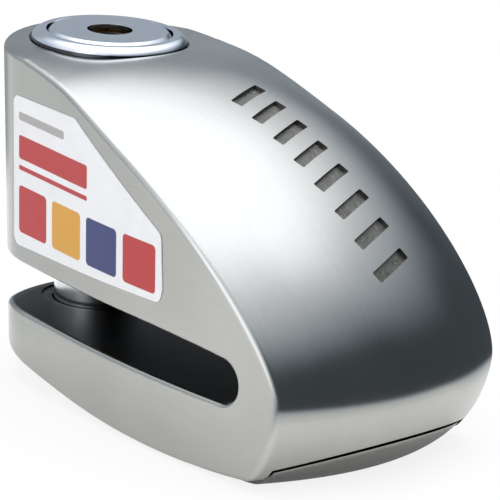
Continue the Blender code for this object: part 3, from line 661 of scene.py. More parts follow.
def math_of(tree, operation, first, second=0.0, third=0.0):
    """Return the result of a sum on two or three values."""
    node = put(tree, "ShaderNodeMath", {"operation": operation}, {0: first, 1: second, 2: third})
    return node.outputs[0]


def spread(tree, value, low, high):
    """Return a value from 0 to 1 spread between two others."""
    return math_of(tree, "MULTIPLY_ADD", value, high - low, low)


def blend_of(tree, share, first, second):
    """Return a mix of two colours."""
    node = put(tree, "ShaderNodeMix", {"data_type": "RGBA"}, {0: share, 6: first, 7: second})
    return node.outputs[2]


def shader_group(name, inputs, output):
    """Return a new shader group with named inputs and one output value, and its two end nodes."""
    group = bpy.data.node_groups.new(name, "ShaderNodeTree")
    for label, kind, value in inputs:
        socket = group.interface.new_socket(label, in_out="INPUT", socket_type=kind)
        socket.default_value = value
    group.interface.new_socket(output, in_out="OUTPUT", socket_type="NodeSocketFloat")
    return group, group.nodes.new("NodeGroupInput"), group.nodes.new("NodeGroupOutput")


def brushing_group():
    """Brush lines: noise drawn out along the brushed direction, from 0 to 1."""
    group, ends, result = shader_group(
        "brush lines", [("Squeeze", "NodeSocketVector", (60.0, 60.0, 2000.0))], "Lines")
    place = put(group, "ShaderNodeTexCoord").outputs["Object"]
    drawn = put(group, "ShaderNodeVectorMath", {"operation": "MULTIPLY"}, {0: place, 1: ends.outputs[0]})
    noise = put(group, "ShaderNodeTexNoise", None, {
        "Vector": drawn.outputs[0], "Scale": 1.0, "Detail": 3.0, "Roughness": 0.65})
    group.links.new(noise.outputs[0], result.inputs[0])
    return group


def handling_group():
    """Soft blotches left by handling, from 0 to 1."""
    group, ends, result = shader_group("handling marks", [
        ("Scale", "NodeSocketFloat", 90.0), ("Contrast", "NodeSocketFloat", 3.0)], "Marks")
    place = put(group, "ShaderNodeTexCoord").outputs["Object"]
    noise = put(group, "ShaderNodeTexNoise", None, {
        "Vector": place, "Scale": ends.outputs[0], "Detail": 4.0, "Distortion": 0.4})
    middle = math_of(group, "SUBTRACT", noise.outputs[0], 0.5)
    scaled = math_of(group, "MULTIPLY_ADD", middle, ends.outputs[1], 0.5)
    bounded = put(group, "ShaderNodeClamp", None, {0: scaled})
    group.links.new(bounded.outputs[0], result.inputs[0])
    return group


def turning_group():
    """Fine rings that a lathe leaves round the pin's axis, from 0 to 1."""
    group, ends, result = shader_group("turning rings", [("Pitch", "NodeSocketFloat", 0.00015)], "Rings")
    place = put(group, "ShaderNodeTexCoord").outputs["Object"]
    centred = put(group, "ShaderNodeMapping", None, {"Vector": place, "Location": (-PIN_X, 0, 0)})
    scale = math_of(group, "DIVIDE", math.pi / 10, ends.outputs[0])
    wave = put(group, "ShaderNodeTexWave", {"wave_type": "RINGS", "rings_direction": "Z"}, {
        "Vector": centred.outputs[0], "Scale": scale, "Distortion": 1.5, "Detail": 2.0, "Detail Scale": 2.0})
    group.links.new(wave.outputs["Fac"], result.inputs[0])
    return group


def block_group():
    """A plain printed block with rounded corners on the flank: 1 inside, 0 outside."""
    group, ends, result = shader_group("printed block", [
        ("Middle", "NodeSocketVector", (0.0, 0.0, 0.0)), ("Half size", "NodeSocketVector", (0.004, 1.0, 0.004)),
        ("Corner", "NodeSocketFloat", 0.0006), ("Lean", "NodeSocketFloat", 0.0)], "Ink")
    place = put(group, "ShaderNodeTexCoord").outputs["Object"]
    centred = put(group, "ShaderNodeVectorMath", {"operation": "SUBTRACT"}, {0: place, 1: ends.outputs[0]})
    parts = put(group, "ShaderNodeSeparateXYZ", None, {0: centred.outputs[0]})
    leant = math_of(group, "MULTIPLY_ADD", parts.outputs[2], ends.outputs[3], parts.outputs[0])
    half = put(group, "ShaderNodeSeparateXYZ", None, {0: ends.outputs[1]})
    sides = []
    for value, reach in ((leant, half.outputs[0]), (parts.outputs[2], half.outputs[2])):
        over = math_of(group, "SUBTRACT", math_of(group, "ABSOLUTE", value), reach)
        sides.append(math_of(group, "MAXIMUM", math_of(group, "ADD", over, ends.outputs[2]), 0.0))
    squares = math_of(group, "ADD", *(math_of(group, "MULTIPLY", s, s) for s in sides))
    past = math_of(group, "SUBTRACT", math_of(group, "SQRT", squares), ends.outputs[2])
    ink = put(group, "ShaderNodeMapRange", None, {
        "Value": past, "From Min": INK_SOFTNESS, "From Max": -INK_SOFTNESS})
    group.links.new(ink.outputs[0], result.inputs[0])
    return group


def new_finish(name, metallic, roughness):
    """Return a material with a bare Principled shader, its tree and that shader."""
    material = bpy.data.materials.new(name)
    material.use_nodes = True
    shader = material.node_tree.nodes["Principled BSDF"]
    shader.inputs["Metallic"].default_value = metallic
    shader.inputs["Roughness"].default_value = roughness
    return material, material.node_tree, shader


def effect(tree, group, sockets=None):
    """Return the output of a shared effect placed in a material."""
    return put(tree, "ShaderNodeGroup", {"node_tree": group}, sockets).outputs[0]


def tones(colour, low, high):
    """Return a colour made darker and lighter."""
    return tuple((*(c * low for c in colour), 1)), tuple((*(min(c * high, 1) for c in colour), 1))


def relief(tree, shader, height, depth, strength=1.0):
    """Give a shader a bump."""
    bump = put(tree, "ShaderNodeBump", None, {"Height": height, "Distance": depth, "Strength": strength})
    tree.links.new(bump.outputs[0], shader.inputs["Normal"])


def stainless_finish(colours, shared):
    """Satin stainless: brushed along the crown and the flanks, polished edges, and a near-black colour mixed in by
    depth as painted shade deep in the slot and other hollows.
    """
    material, tree, shader = new_finish("satin stainless", 1.0, 0.24)
    flank = put(tree, "ShaderNodeAttribute", {"attribute_name": "flank"}).outputs["Fac"]
    edge = put(tree, "ShaderNodeAttribute", {"attribute_name": "edge"}).outputs["Fac"]
    depth = put(tree, "ShaderNodeAttribute", {"attribute_name": "depth"}).outputs["Fac"]
    # Painted shade: the deeper a point lies inside the body's skin, the more of the near-black colour it takes; the
    # cover's skin takes part of it too
    inside = put(tree, "ShaderNodeMapRange", {"interpolation_type": "SMOOTHSTEP"}, {
        "Value": depth, "From Min": DARK_FROM, "From Max": DARK_TO}).outputs[0]
    over = effect(tree, shared["brushing"], {0: (45.0, 1900.0, 45.0)})
    along = effect(tree, shared["brushing"], {0: (40.0, 40.0, 1700.0)})
    lines = put(tree, "ShaderNodeMix", None, {0: flank, 2: over, 3: along}).outputs[0]
    marks = effect(tree, shared["handling"], {"Scale": 60.0, "Contrast": 2.0})
    worn = math_of(tree, "MULTIPLY_ADD", lines, 0.5, math_of(tree, "MULTIPLY", marks, 0.5))
    plain = blend_of(tree, worn, *tones(colours.steel, 0.90, 1.08))
    bright = blend_of(tree, math_of(tree, "MULTIPLY", edge, 0.5), plain, tones(colours.steel, 1, 1.3)[1])
    shade = blend_of(tree, inside, bright, (*colours.slot_shade_and_cover_tone, 1))
    tree.links.new(shade, shader.inputs["Base Color"])
    rough = math_of(tree, "MULTIPLY_ADD", inside, 0.22, spread(tree, worn, 0.15, 0.27))
    tree.links.new(rough, shader.inputs["Roughness"])
    relief(tree, shader, lines, 0.000012, 0.5)
    return material


def recess_finish(colours, shared):
    """Sunk floors left with a dull blasted surface."""
    material, tree, shader = new_finish("blasted recess", 1.0, 0.5)
    marks = effect(tree, shared["handling"], {"Scale": 900.0, "Contrast": 3.0})
    tree.links.new(blend_of(tree, marks, *tones(colours.recess, 0.75, 1.2)), shader.inputs["Base Color"])
    tree.links.new(spread(tree, marks, 0.42, 0.6), shader.inputs["Roughness"])
    relief(tree, shader, marks, 0.00006)
    return material


def chrome_finish(colours, shared):
    """Polished plate with faint lathe rings and handling marks, and a painted shade line at the collar's foot where
    it meets the deck.
    """
    material, tree, shader = new_finish("polished chrome", 1.0, 0.07)
    marks = effect(tree, shared["handling"], {"Scale": 150.0, "Contrast": 2.5})
    rings = effect(tree, shared["turning"], {0: 0.00018})
    # Painted shade: the 'foot' attribute darkens the plate to near black below a line just above the collar's seat.
    foot = put(tree, "ShaderNodeAttribute", {"attribute_name": "foot"}).outputs["Fac"]
    line = put(tree, "ShaderNodeMapRange", None, {"Value": foot, "From Min": 0.0, "From Max": 0.00015})
    plate = blend_of(tree, marks, *tones(colours.chrome, 0.95, 1.03))
    shade = blend_of(tree, line.outputs[0], plate, tones(colours.chrome, 0.08, 1)[0])
    tree.links.new(shade, shader.inputs["Base Color"])
    tree.links.new(spread(tree, marks, 0.05, 0.11), shader.inputs["Roughness"])
    relief(tree, shader, rings, 0.000002, 0.3)
    return material


def pin_finish(colours, shared):
    """Polished pin with handling marks."""
    material, tree, shader = new_finish("worn chrome", 1.0, 0.18)
    marks = effect(tree, shared["handling"], {"Scale": 150.0, "Contrast": 2.5})
    tree.links.new(blend_of(tree, marks, *tones(colours.pin, 0.94, 1.03)), shader.inputs["Base Color"])
    tree.links.new(spread(tree, marks, 0.14, 0.22), shader.inputs["Roughness"])
    return material


def hardened_finish(colours, shared):
    """Ground hard steel with grinding lines and handling marks."""
    material, tree, shader = new_finish("ground hard steel", 1.0, 0.3)
    lines = effect(tree, shared["brushing"], {0: (150.0, 150.0, 3000.0)})
    marks = effect(tree, shared["handling"], {"Scale": 180.0, "Contrast": 2.5})
    worn = math_of(tree, "MULTIPLY", math_of(tree, "ADD", lines, marks), 0.5)
    tree.links.new(blend_of(tree, worn, *tones(colours.hardened, 0.82, 1.15)), shader.inputs["Base Color"])
    tree.links.new(spread(tree, worn, 0.22, 0.4), shader.inputs["Roughness"])
    relief(tree, shader, lines, 0.000015, 0.6)
    return material


def blackened_finish(colours, shared):
    """Hard steel with an oiled black oxide, also laid on the body's cut faces below the slot as painted shade."""
    material, tree, shader = new_finish("black oxide", 1.0, 0.4)
    marks = effect(tree, shared["handling"], {"Scale": 500.0, "Contrast": 2.5})
    tree.links.new(blend_of(tree, marks, *tones(colours.blackened, 0.75, 1.4)), shader.inputs["Base Color"])
    tree.links.new(spread(tree, marks, 0.32, 0.5), shader.inputs["Roughness"])
    relief(tree, shader, marks, 0.00001)
    return material


def spring_finish(colours, shared):
    """Bright drawn wire."""
    material, tree, shader = new_finish("drawn wire", 1.0, 0.25)
    marks = effect(tree, shared["handling"], {"Scale": 700.0, "Contrast": 3.0})
    tree.links.new(blend_of(tree, marks, *tones(colours.spring, 0.85, 1.12)), shader.inputs["Base Color"])
    tree.links.new(spread(tree, marks, 0.18, 0.34), shader.inputs["Roughness"])
    relief(tree, shader, marks, 0.00001)
    return material


def brass_finish(colours, shared):
    """Turned brass with tarnish in patches."""
    material, tree, shader = new_finish("turned brass", 1.0, 0.3)
    rings = effect(tree, shared["turning"], {0: 0.00022})
    marks = effect(tree, shared["handling"], {"Scale": 260.0, "Contrast": 3.5})
    tree.links.new(blend_of(tree, marks, *tones(colours.brass, 0.6, 1.1)), shader.inputs["Base Color"])
    tree.links.new(spread(tree, marks, 0.42, 0.24), shader.inputs["Roughness"])
    relief(tree, shader, rings, 0.000008, 0.5)
    return material


def rubber_finish(colours, shared):
    """Matt black rubber with a dusty bloom."""
    material, tree, shader = new_finish("black rubber", 0.0, 0.75)
    marks = effect(tree, shared["handling"], {"Scale": 420.0, "Contrast": 3.0})
    tree.links.new(blend_of(tree, marks, *tones(colours.rubber, 0.7, 1.6)), shader.inputs["Base Color"])
    tree.links.new(spread(tree, marks, 0.66, 0.86), shader.inputs["Roughness"])
    relief(tree, shader, marks, 0.00004)
    return material


def plastic_finish(colours, shared):
    """Moulded black plastic with a spark-eroded texture."""
    material, tree, shader = new_finish("moulded plastic", 0.0, 0.55)
    marks = effect(tree, shared["handling"], {"Scale": 2600.0, "Contrast": 2.0})
    tree.links.new(blend_of(tree, marks, *tones(colours.plastic, 0.8, 1.25)), shader.inputs["Base Color"])
    tree.links.new(spread(tree, marks, 0.45, 0.62), shader.inputs["Roughness"])
    relief(tree, shader, marks, 0.00003)
    return material


def board_finish(colours, shared):
    """Coated circuit board with raised tracks and tinned spots."""
    material, tree, shader = new_finish("coated board", 0.0, 0.3)
    place = put(tree, "ShaderNodeTexCoord").outputs["Object"]
    cells = put(tree, "ShaderNodeTexVoronoi", {"feature": "F1", "distance": "CHEBYCHEV"}, {
        "Vector": place, "Scale": 420.0, "Randomness": 0.35})
    tracks = put(tree, "ShaderNodeMapRange", None, {
        "Value": cells.outputs["Distance"], "From Min": 0.30, "From Max": 0.36})
    pads = put(tree, "ShaderNodeMapRange", None, {
        "Value": cells.outputs["Distance"], "From Min": 0.10, "From Max": 0.07})
    coat = blend_of(tree, tracks.outputs[0], *tones(colours.board, 0.75, 1.3))
    tree.links.new(blend_of(tree, pads.outputs[0], coat, (0.55, 0.55, 0.52, 1)), shader.inputs["Base Color"])
    tree.links.new(pads.outputs[0], shader.inputs["Metallic"])
    marks = effect(tree, shared["handling"], {"Scale": 300.0, "Contrast": 2.0})
    tree.links.new(spread(tree, marks, 0.24, 0.4), shader.inputs["Roughness"])
    relief(tree, shader, tracks.outputs[0], 0.00003)
    return material


def label_finish(colours, shared):
    """White coated label with plain printed bars and blocks."""
    material, tree, shader = new_finish("printed label", 0.0, 0.35)
    marks = effect(tree, shared["handling"], {"Scale": 240.0, "Contrast": 2.0})
    ink = blend_of(tree, marks, *tones(colours.label, 0.96, 1.02))
    for middle_x, middle_z, half_x, half_z, corner, lean, name in PRINT:
        block = effect(tree, shared["block"], {
            0: (middle_x + PIN_X, 0, middle_z), 1: (half_x, 1, half_z), 2: corner, 3: lean})
        ink = blend_of(tree, block, ink, (*getattr(colours, name), 1))
    tree.links.new(ink, shader.inputs["Base Color"])
    tree.links.new(spread(tree, marks, 0.28, 0.42), shader.inputs["Roughness"])
    relief(tree, shader, marks, 0.00001)
    return material


def repeat_tree():
    """Geometry Nodes tree that stands one shape at each point, turned by the point's own angles."""
    tree = bpy.data.node_groups.new("repeat at points", "GeometryNodeTree")
    for label, kind in (
            ("Points", "NodeSocketGeometry"), ("Shape", "NodeSocketObject"),
            ("Size", "NodeSocketFloat"), ("Finish", "NodeSocketMaterial")):
        socket = tree.interface.new_socket(label, in_out="INPUT", socket_type=kind)
        if label == "Size":
            socket.default_value = 1.0
    tree.interface.new_socket("Pieces", in_out="OUTPUT", socket_type="NodeSocketGeometry")
    ends = tree.nodes.new("NodeGroupInput")
    result = tree.nodes.new("NodeGroupOutput")
    shape = put(tree, "GeometryNodeObjectInfo", None, {"Object": ends.outputs["Shape"]})
    turn = put(tree, "GeometryNodeInputNamedAttribute", {"data_type": "FLOAT_VECTOR"}, {"Name": "turn"})
    angles = put(tree, "FunctionNodeEulerToRotation", None, {0: turn.outputs["Attribute"]})
    stood = put(tree, "GeometryNodeInstanceOnPoints", None, {
        "Points": ends.outputs["Points"], "Instance": shape.outputs["Geometry"],
        "Rotation": angles.outputs[0], "Scale": ends.outputs["Size"]})
    whole = put(tree, "GeometryNodeRealizeInstances", None, {"Geometry": stood.outputs[0]})
    coated = put(tree, "GeometryNodeSetMaterial", None, {
        "Geometry": whole.outputs[0], "Material": ends.outputs["Finish"]})
    tree.links.new(coated.outputs[0], result.inputs[0])
    return tree


def spring_tree():
    """Geometry Nodes tree that winds a round wire into a coil."""
    tree = bpy.data.node_groups.new("wound spring", "GeometryNodeTree")
    for label, kind, value in (
            ("Seat", "NodeSocketGeometry", None), ("Turns", "NodeSocketFloat", 3.0),
            ("Radius", "NodeSocketFloat", 0.008), ("Height", "NodeSocketFloat", 0.004),
            ("Wire", "NodeSocketFloat", 0.0005), ("Finish", "NodeSocketMaterial", None)):
        socket = tree.interface.new_socket(label, in_out="INPUT", socket_type=kind)
        if value is not None:
            socket.default_value = value
    tree.interface.new_socket("Coil", in_out="OUTPUT", socket_type="NodeSocketGeometry")
    ends = tree.nodes.new("NodeGroupInput")
    result = tree.nodes.new("NodeGroupOutput")
    helix = put(tree, "GeometryNodeCurveSpiral", None, {
        "Resolution": 48, "Rotations": ends.outputs["Turns"], "Start Radius": ends.outputs["Radius"],
        "End Radius": ends.outputs["Radius"], "Height": ends.outputs["Height"]})
    ring = put(tree, "GeometryNodeCurvePrimitiveCircle", None, {
        "Resolution": 12, "Radius": ends.outputs["Wire"]})
    wire = put(tree, "GeometryNodeCurveToMesh", None, {
        "Curve": helix.outputs[0], "Profile Curve": ring.outputs[0], "Fill Caps": True})
    seat = put(tree, "GeometryNodeInstanceOnPoints", None, {
        "Points": ends.outputs["Seat"], "Instance": wire.outputs[0]})
    whole = put(tree, "GeometryNodeRealizeInstances", None, {"Geometry": seat.outputs[0]})
    coated = put(tree, "GeometryNodeSetMaterial", None, {
        "Geometry": whole.outputs[0], "Material": ends.outputs["Finish"]})
    tree.links.new(coated.outputs[0], result.inputs[0])
    return tree


def grown(name, tree, places, values, turns=None):
    """Return the plain mesh that a Geometry Nodes tree makes at some places."""
    mesh = bpy.data.meshes.new(name)
    mesh.from_pydata([tuple(place) for place in places], [], [])
    store = mesh.attributes.new("turn", "FLOAT_VECTOR", "POINT")
    store.data.foreach_set("vector", np.ravel(turns if turns is not None else [(0, 0, 0)] * len(places)))
    piece = linked(name, mesh)
    modifier = piece.modifiers.new(tree.name, "NODES")
    modifier.node_group = tree
    for socket in tree.interface.items_tree:
        if socket.in_out == "INPUT" and socket.name in values:
            modifier[socket.identifier] = values[socket.name]
    plain_mesh(piece)
    if not piece.data.polygons:
        raise RuntimeError(f"{name} came out empty")
    return piece


def plan_outline(offset):
    """Return the body's plan at PLAN_Z as points, moved outwards by an offset."""
    lean = math.pi / 2 + TAPER
    start = (BACK_CENTRE_X + BACK_RADIUS * math.cos(lean), BACK_RADIUS * math.sin(lean))
    bend_x = start[0] + FLANK_STRAIGHT * math.cos(TAPER) - FLANK_RADIUS * math.cos(lean)
    bend_y = start[1] + FLANK_STRAIGHT * math.sin(TAPER) - FLANK_RADIUS * math.sin(lean)
    upper = []
    for i in range(PLAN_STEPS + 1):
        angle = lean - FLANK_SWEEP * (1 - i / PLAN_STEPS)
        reach = FLANK_RADIUS + offset
        upper.append((bend_x + reach * math.cos(angle), bend_y + reach * math.sin(angle)))
    for i in range(PLAN_STEPS + 1):
        angle = lean + (math.pi - lean) * i / PLAN_STEPS
        reach = BACK_RADIUS + offset
        upper.append((BACK_CENTRE_X + reach * math.cos(angle), reach * math.sin(angle)))
    return upper + [(x, -y) for x, y in reversed(upper[:-1])]


def cover_block(grow):
    """Return the cover's plate and its arched lip, grown by a clearance, as a block to trim with."""
    lows, highs = -CUT, LIP_TOP_Z + grow
    outlines = [plan_outline(DRAFT * (z - PLAN_Z) + grow - COVER_INSET) for z in (lows, highs)]
    block = lofted("cover_block", outlines, (lows, highs))
    back = slab("behind_cover", (-0.05, -0.05, -0.01), (COVER_BACK_X - grow, 0.05, SKY_Z))
    reach = math.asin(0.04 / CROWN_RADIUS_NOSE)
    middle = LIP_BACK_X - grow - CROWN_RADIUS_NOSE
    angles = [reach * (2 * i / PLAN_STEPS - 1) for i in range(PLAN_STEPS + 1)]
    front = [(middle + CROWN_RADIUS_NOSE * math.cos(a), CROWN_RADIUS_NOSE * math.sin(a)) for a in angles]
    outline = front + [(-0.05, 0.04), (-0.05, -0.04)]
    above = lofted("above_cover", (outline, outline), (COVER_THICKNESS + grow, SKY_Z))
    reach = math.asin(0.04 / LIP_ARCH_RADIUS)
    crest = LIP_TOP_Z + grow - LIP_ARCH_RADIUS
    angles = [reach * (1 - 2 * i / PLAN_STEPS) for i in range(PLAN_STEPS + 1)]
    arch = [(LIP_ARCH_RADIUS * math.sin(a), crest + LIP_ARCH_RADIUS * math.cos(a)) for a in angles]
    outline = arch + [(-0.04, SKY_Z), (0.04, SKY_Z)]
    over = lofted("over_lip", (outline, outline), (COVER_BACK_X, 0.12), along="X")
    carve(block, [back, above, over])
    return block


def body_cutters():
    """Return the solids that make room in the body for the cylinder, the bushes, the latch and the base."""
    bore = [
        (0, SKY_Z), (SEAT_RADIUS, SKY_Z), (SEAT_RADIUS, SEAT_Z), (SLEEVE_RADIUS, SEAT_Z),
        (SLEEVE_RADIUS, SLEEVE_Z), (BORE_RADIUS, SLEEVE_Z), (BORE_RADIUS, BORE_FLOOR_Z),
        (GUIDE_HOLE, BORE_FLOOR_Z), (GUIDE_HOLE, SLOT_TOP_Z - CUT), (0, SLOT_TOP_Z - CUT)]
    cutters = [
        turned("bore", bore, False),
        rod("socket_hole", SOCKET_HOLE, SOCKET_FLOOR_Z, SLOT_FLOOR_Z + CUT),
        slab("latch_pocket", (0, -LATCH_SIDE, LATCH_LOW_Z), (LATCH_REACH, LATCH_SIDE, LATCH_HIGH_Z)),
        cover_block(SEAM),
        slab("gasket_groove", (POCKET_BACK_X - RIM, -POCKET_SIDE - RIM, COVER_THICKNESS),
             (POCKET_FRONT_X + RIM, POCKET_SIDE + RIM, GROOVE_TOP_Z)),
        slab("alarm_pocket", (POCKET_BACK_X, -POCKET_SIDE, COVER_THICKNESS),
             (POCKET_FRONT_X, POCKET_SIDE, POCKET_TOP_Z))]
    hole = rod("screw_hole", SCREW_RADIUS + GAP, COVER_THICKNESS, SCREW_HOLE_Z, SMALL_STEPS, (-PIN_X, 0))
    cutters.append(grown("screw_holes", repeat_tree(), screw_places(), {"Shape": hole}))
    bpy.data.objects.remove(hole)
    return cutters


def screw_places():
    """Return where the cover's screws stand, read from the CAD nodes."""
    boxes = [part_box(f"cover_screw_{i}") for i in (1, 2, 3)]
    return [((low.x + high.x) / 2, (low.y + high.y) / 2, 0) for low, high in boxes]


def crown_place(x, y):
    """Return a point of the crown and its frame: along the body, across it and outwards."""
    t = np.linspace(0, 1, 2001)
    t = t[np.abs(bezier(t)[0][:, 0] - x).argmin()][None]
    foot = bezier(t)[0][0]
    spot = np.array([[foot[0], y, foot[1]]])
    for _ in range(SETTLE_STEPS):
        slope = slopes(crown_distance, spot)
        spot = spot - crown_distance(spot)[:, None] * slope
    out = Vector(slope[0]).normalized()
    across = (Vector((0, 1, 0)) - out * out.y).normalized()
    return Vector(spot[0]), Matrix((across.cross(out), across, out)).transposed()


def groove_cutter(trim):
    """Return the row of plain straight grooves that is sunk into the crown."""
    half, end = trim.groove_width / 2, trim.groove_length / 2
    corners = [(-half - PIN_X, -end), (half - PIN_X, -end), (half - PIN_X, end), (-half - PIN_X, end)]
    outline = rounded(corners, trim.groove_corner)
    shape = lofted("groove", (outline, outline), (-trim.groove_depth, 0.004))
    places, turns = [], []
    for x in GROOVE_X:
        spot, axes = crown_place(x, GROOVE_Y)
        places.append((spot.x + PIN_X, spot.y, spot.z))
        turns.append((axes @ Matrix.Rotation(trim.groove_slant, 3, "Z")).to_euler())
    row = grown("grooves", repeat_tree(), places, {"Shape": shape}, turns)
    bpy.data.objects.remove(shape)
    return row


FINISHES = {
    "stainless": stainless_finish, "recess": recess_finish, "chrome": chrome_finish, "pin": pin_finish,
    "hardened": hardened_finish, "blackened": blackened_finish, "spring": spring_finish,
    "brass": brass_finish, "rubber": rubber_finish,
    "plastic": plastic_finish, "board": board_finish, "label": label_finish}
EFFECTS = {}
COATS = {}


def coating(key):
    """Return a finish, made on first use from the shared effects."""
    if not EFFECTS:
        EFFECTS.update(
            brushing=brushing_group(), handling=handling_group(), turning=turning_group(),
            block=block_group())
    if key not in COATS:
        COATS[key] = FINISHES[key](bpy.context.scene.lock_finishes, EFFECTS)
    return COATS[key]


def length(label, text, value):
    """Return a length that a user may change."""
    return bpy.props.FloatProperty(name=label, description=text, default=value, unit="LENGTH", precision=5)


def colour(label, text, value):
    """Return a colour that a user may change."""
    return bpy.props.FloatVectorProperty(
        name=label, description=text, default=value, size=3, min=0, max=1, subtype="COLOR")


class LockEdges(bpy.types.PropertyGroup):
    """Edge radii of the body."""

    crease: length("Crease", "Edge between the crown and the flanks", 0.0008)
    base_edge: length("Base edge", "Edge between the flanks and the underside", 0.0010)
    slot_edge: length("Slot edge", "Lower edge of the slot for the disc", 0.0008)
    slot_top_edge: length("Slot top edge", "Upper edge of the slot for the disc", 0.0006)
    pitch: length("Pitch", "Grid that the body is sampled on", 0.0005)


class LockTrim(bpy.types.PropertyGroup):
    """Sizes of the crown's grooves and of the label."""

    groove_length: length("Groove length", "Length of each groove on the crown", 0.0096)
    groove_width: length("Groove width", "Width of each groove on the crown", 0.0021)
    groove_corner: length("Groove corner", "Corner radius of each groove on the crown", 0.0003)
    groove_depth: length("Groove depth", "Depth of each groove on the crown", 0.0009)
    groove_slant: bpy.props.FloatProperty(
        name="Groove slant", description="Turn of each groove on the crown", default=0.35, unit="ROTATION")
    label_corner: length("Label corner", "Corner radius of the label", 0.0016)
    label_thickness: length("Label thickness", "Thickness of the label", 0.00015)


class LockFinishes(bpy.types.PropertyGroup):
    """Colours of the lock."""

    steel: colour("Steel", "Satin stainless body and cover", (0.464, 0.470, 0.455))
    # Near-black colour mixed in by depth as painted shade in the slot and hollows, and partway over the base
    # cover's skin
    slot_shade_and_cover_tone: colour("Slot walls", "Dull walls of the slot", (0.035, 0.035, 0.036))
    recess: colour("Recess", "Blasted floors of the grooves", (0.20, 0.20, 0.18))
    chrome: colour("Chrome", "Collar and cylinder face", (0.80, 0.84, 0.91))
    pin: colour("Pin", "Locking pin", (0.88, 0.90, 0.92))
    hardened: colour("Hard steel", "Ground inner pieces", (0.45, 0.46, 0.47))
    blackened: colour("Black oxide", "Bushes round the pin", (0.045, 0.045, 0.047))
    spring: colour("Spring", "Drawn wire", (0.50, 0.50, 0.52))
    brass: colour("Brass", "Plug and discs", (0.50, 0.35, 0.16))
    rubber: colour("Rubber", "Seals", (0.03, 0.03, 0.03))
    plastic: colour("Plastic", "Tray and sounder", (0.05, 0.05, 0.055))
    board: colour("Board", "Coating of the circuit board", (0.04, 0.22, 0.10))
    label: colour("Label", "Ground of the label", (0.74, 0.75, 0.785))
    ink_red: colour("Red", "Red print of the label", (0.42, 0.025, 0.03))
    ink_amber: colour("Amber", "Amber print of the label", (0.60, 0.30, 0.03))
    ink_navy: colour("Navy", "Navy print of the label", (0.025, 0.035, 0.15))
    ink_grey: colour("Grey", "Grey print of the label", (0.36, 0.34, 0.35))


class LockStudio(bpy.types.PropertyGroup):
    """Light round the lock."""

    softbox: bpy.props.FloatProperty(
        name="Softbox", description="Power of the overhead softbox", default=13.0, unit="POWER")
    fill: bpy.props.FloatProperty(
        name="Fill", description="Power of the front fill", default=5.0, unit="POWER")
    ambient: bpy.props.FloatProperty(
        name="Ambient", description="Level of the light from all round", default=0.45, subtype="FACTOR")
    dome: bpy.props.FloatProperty(
        name="Dome", description="Level of the overhead light in reflections", default=2.3)
    flag: bpy.props.FloatProperty(
        name="Flag", description="Darkest tone of the reflected flag", default=0.085, subtype="FACTOR")
    floor: colour("Floor", "Pale floor", (0.86, 0.86, 0.84))


class LOCK_OT_body(bpy.types.Operator):
    """Make the solid steel body with its edges rounded, its bores and its row of grooves."""

    bl_idname = "lock.body"
    bl_label = "Steel body"

    def execute(self, context):
        edges = context.scene.lock_edges

        def distance(points):
            return body_distance(points, edges)

        piece = skin_piece("steel_body", distance, *BODY_GRID, edges.pitch)
        carve(piece, body_cutters() + [groove_cutter(context.scene.lock_trim)])
        spots, on_skin = true_normals(piece, distance)
        crown, flank = crown_distance(spots), flank_distance(spots)
        point_values(piece, "flank", np.clip(0.5 + (flank - crown) / 0.0016, 0, 1))
        point_values(piece, "edge", np.clip((np.minimum(crown, flank) / edges.crease + 1) / 0.7, 0, 1))
        # Depth inside the skin and away from the slot's mouth, from which the stainless finish paints shade
        off_wall = np.maximum(np.abs(slot_distance(spots)) - edges.slot_edge / 2, 0)
        point_values(piece, "depth", -1000 * np.maximum(crown, flank) - 6000 * off_wall)
        piece.data.materials.append(coating("stainless"))
        piece.data.materials.append(coating("recess"))
        piece.data.materials.append(coating("blackened"))
        centres = np.empty(len(piece.data.polygons) * 3)
        piece.data.polygons.foreach_get("center", centres)
        centres = centres.reshape(-1, 3)
        sunk = ~on_skin & (centres[:, 0] - PIN_X > GROOVE_X[0] - 0.006) & (centres[:, 2] > SLOT_TOP_Z + 0.001)
        # Cut faces below the slot floor, hidden under the cover and bushes except in the cover seam and round the
        # socket bush, take the black oxide as painted shade in those gaps
        painted_dark_low_cuts = ~on_skin & (centres[:, 2] < SLOT_FLOOR_Z - 0.001)
        piece.data.polygons.foreach_set("material_index", (sunk + 2 * painted_dark_low_cuts).astype(np.int32))
        finish(piece, "body", "stainless", "body_shell")
        return {"FINISHED"}


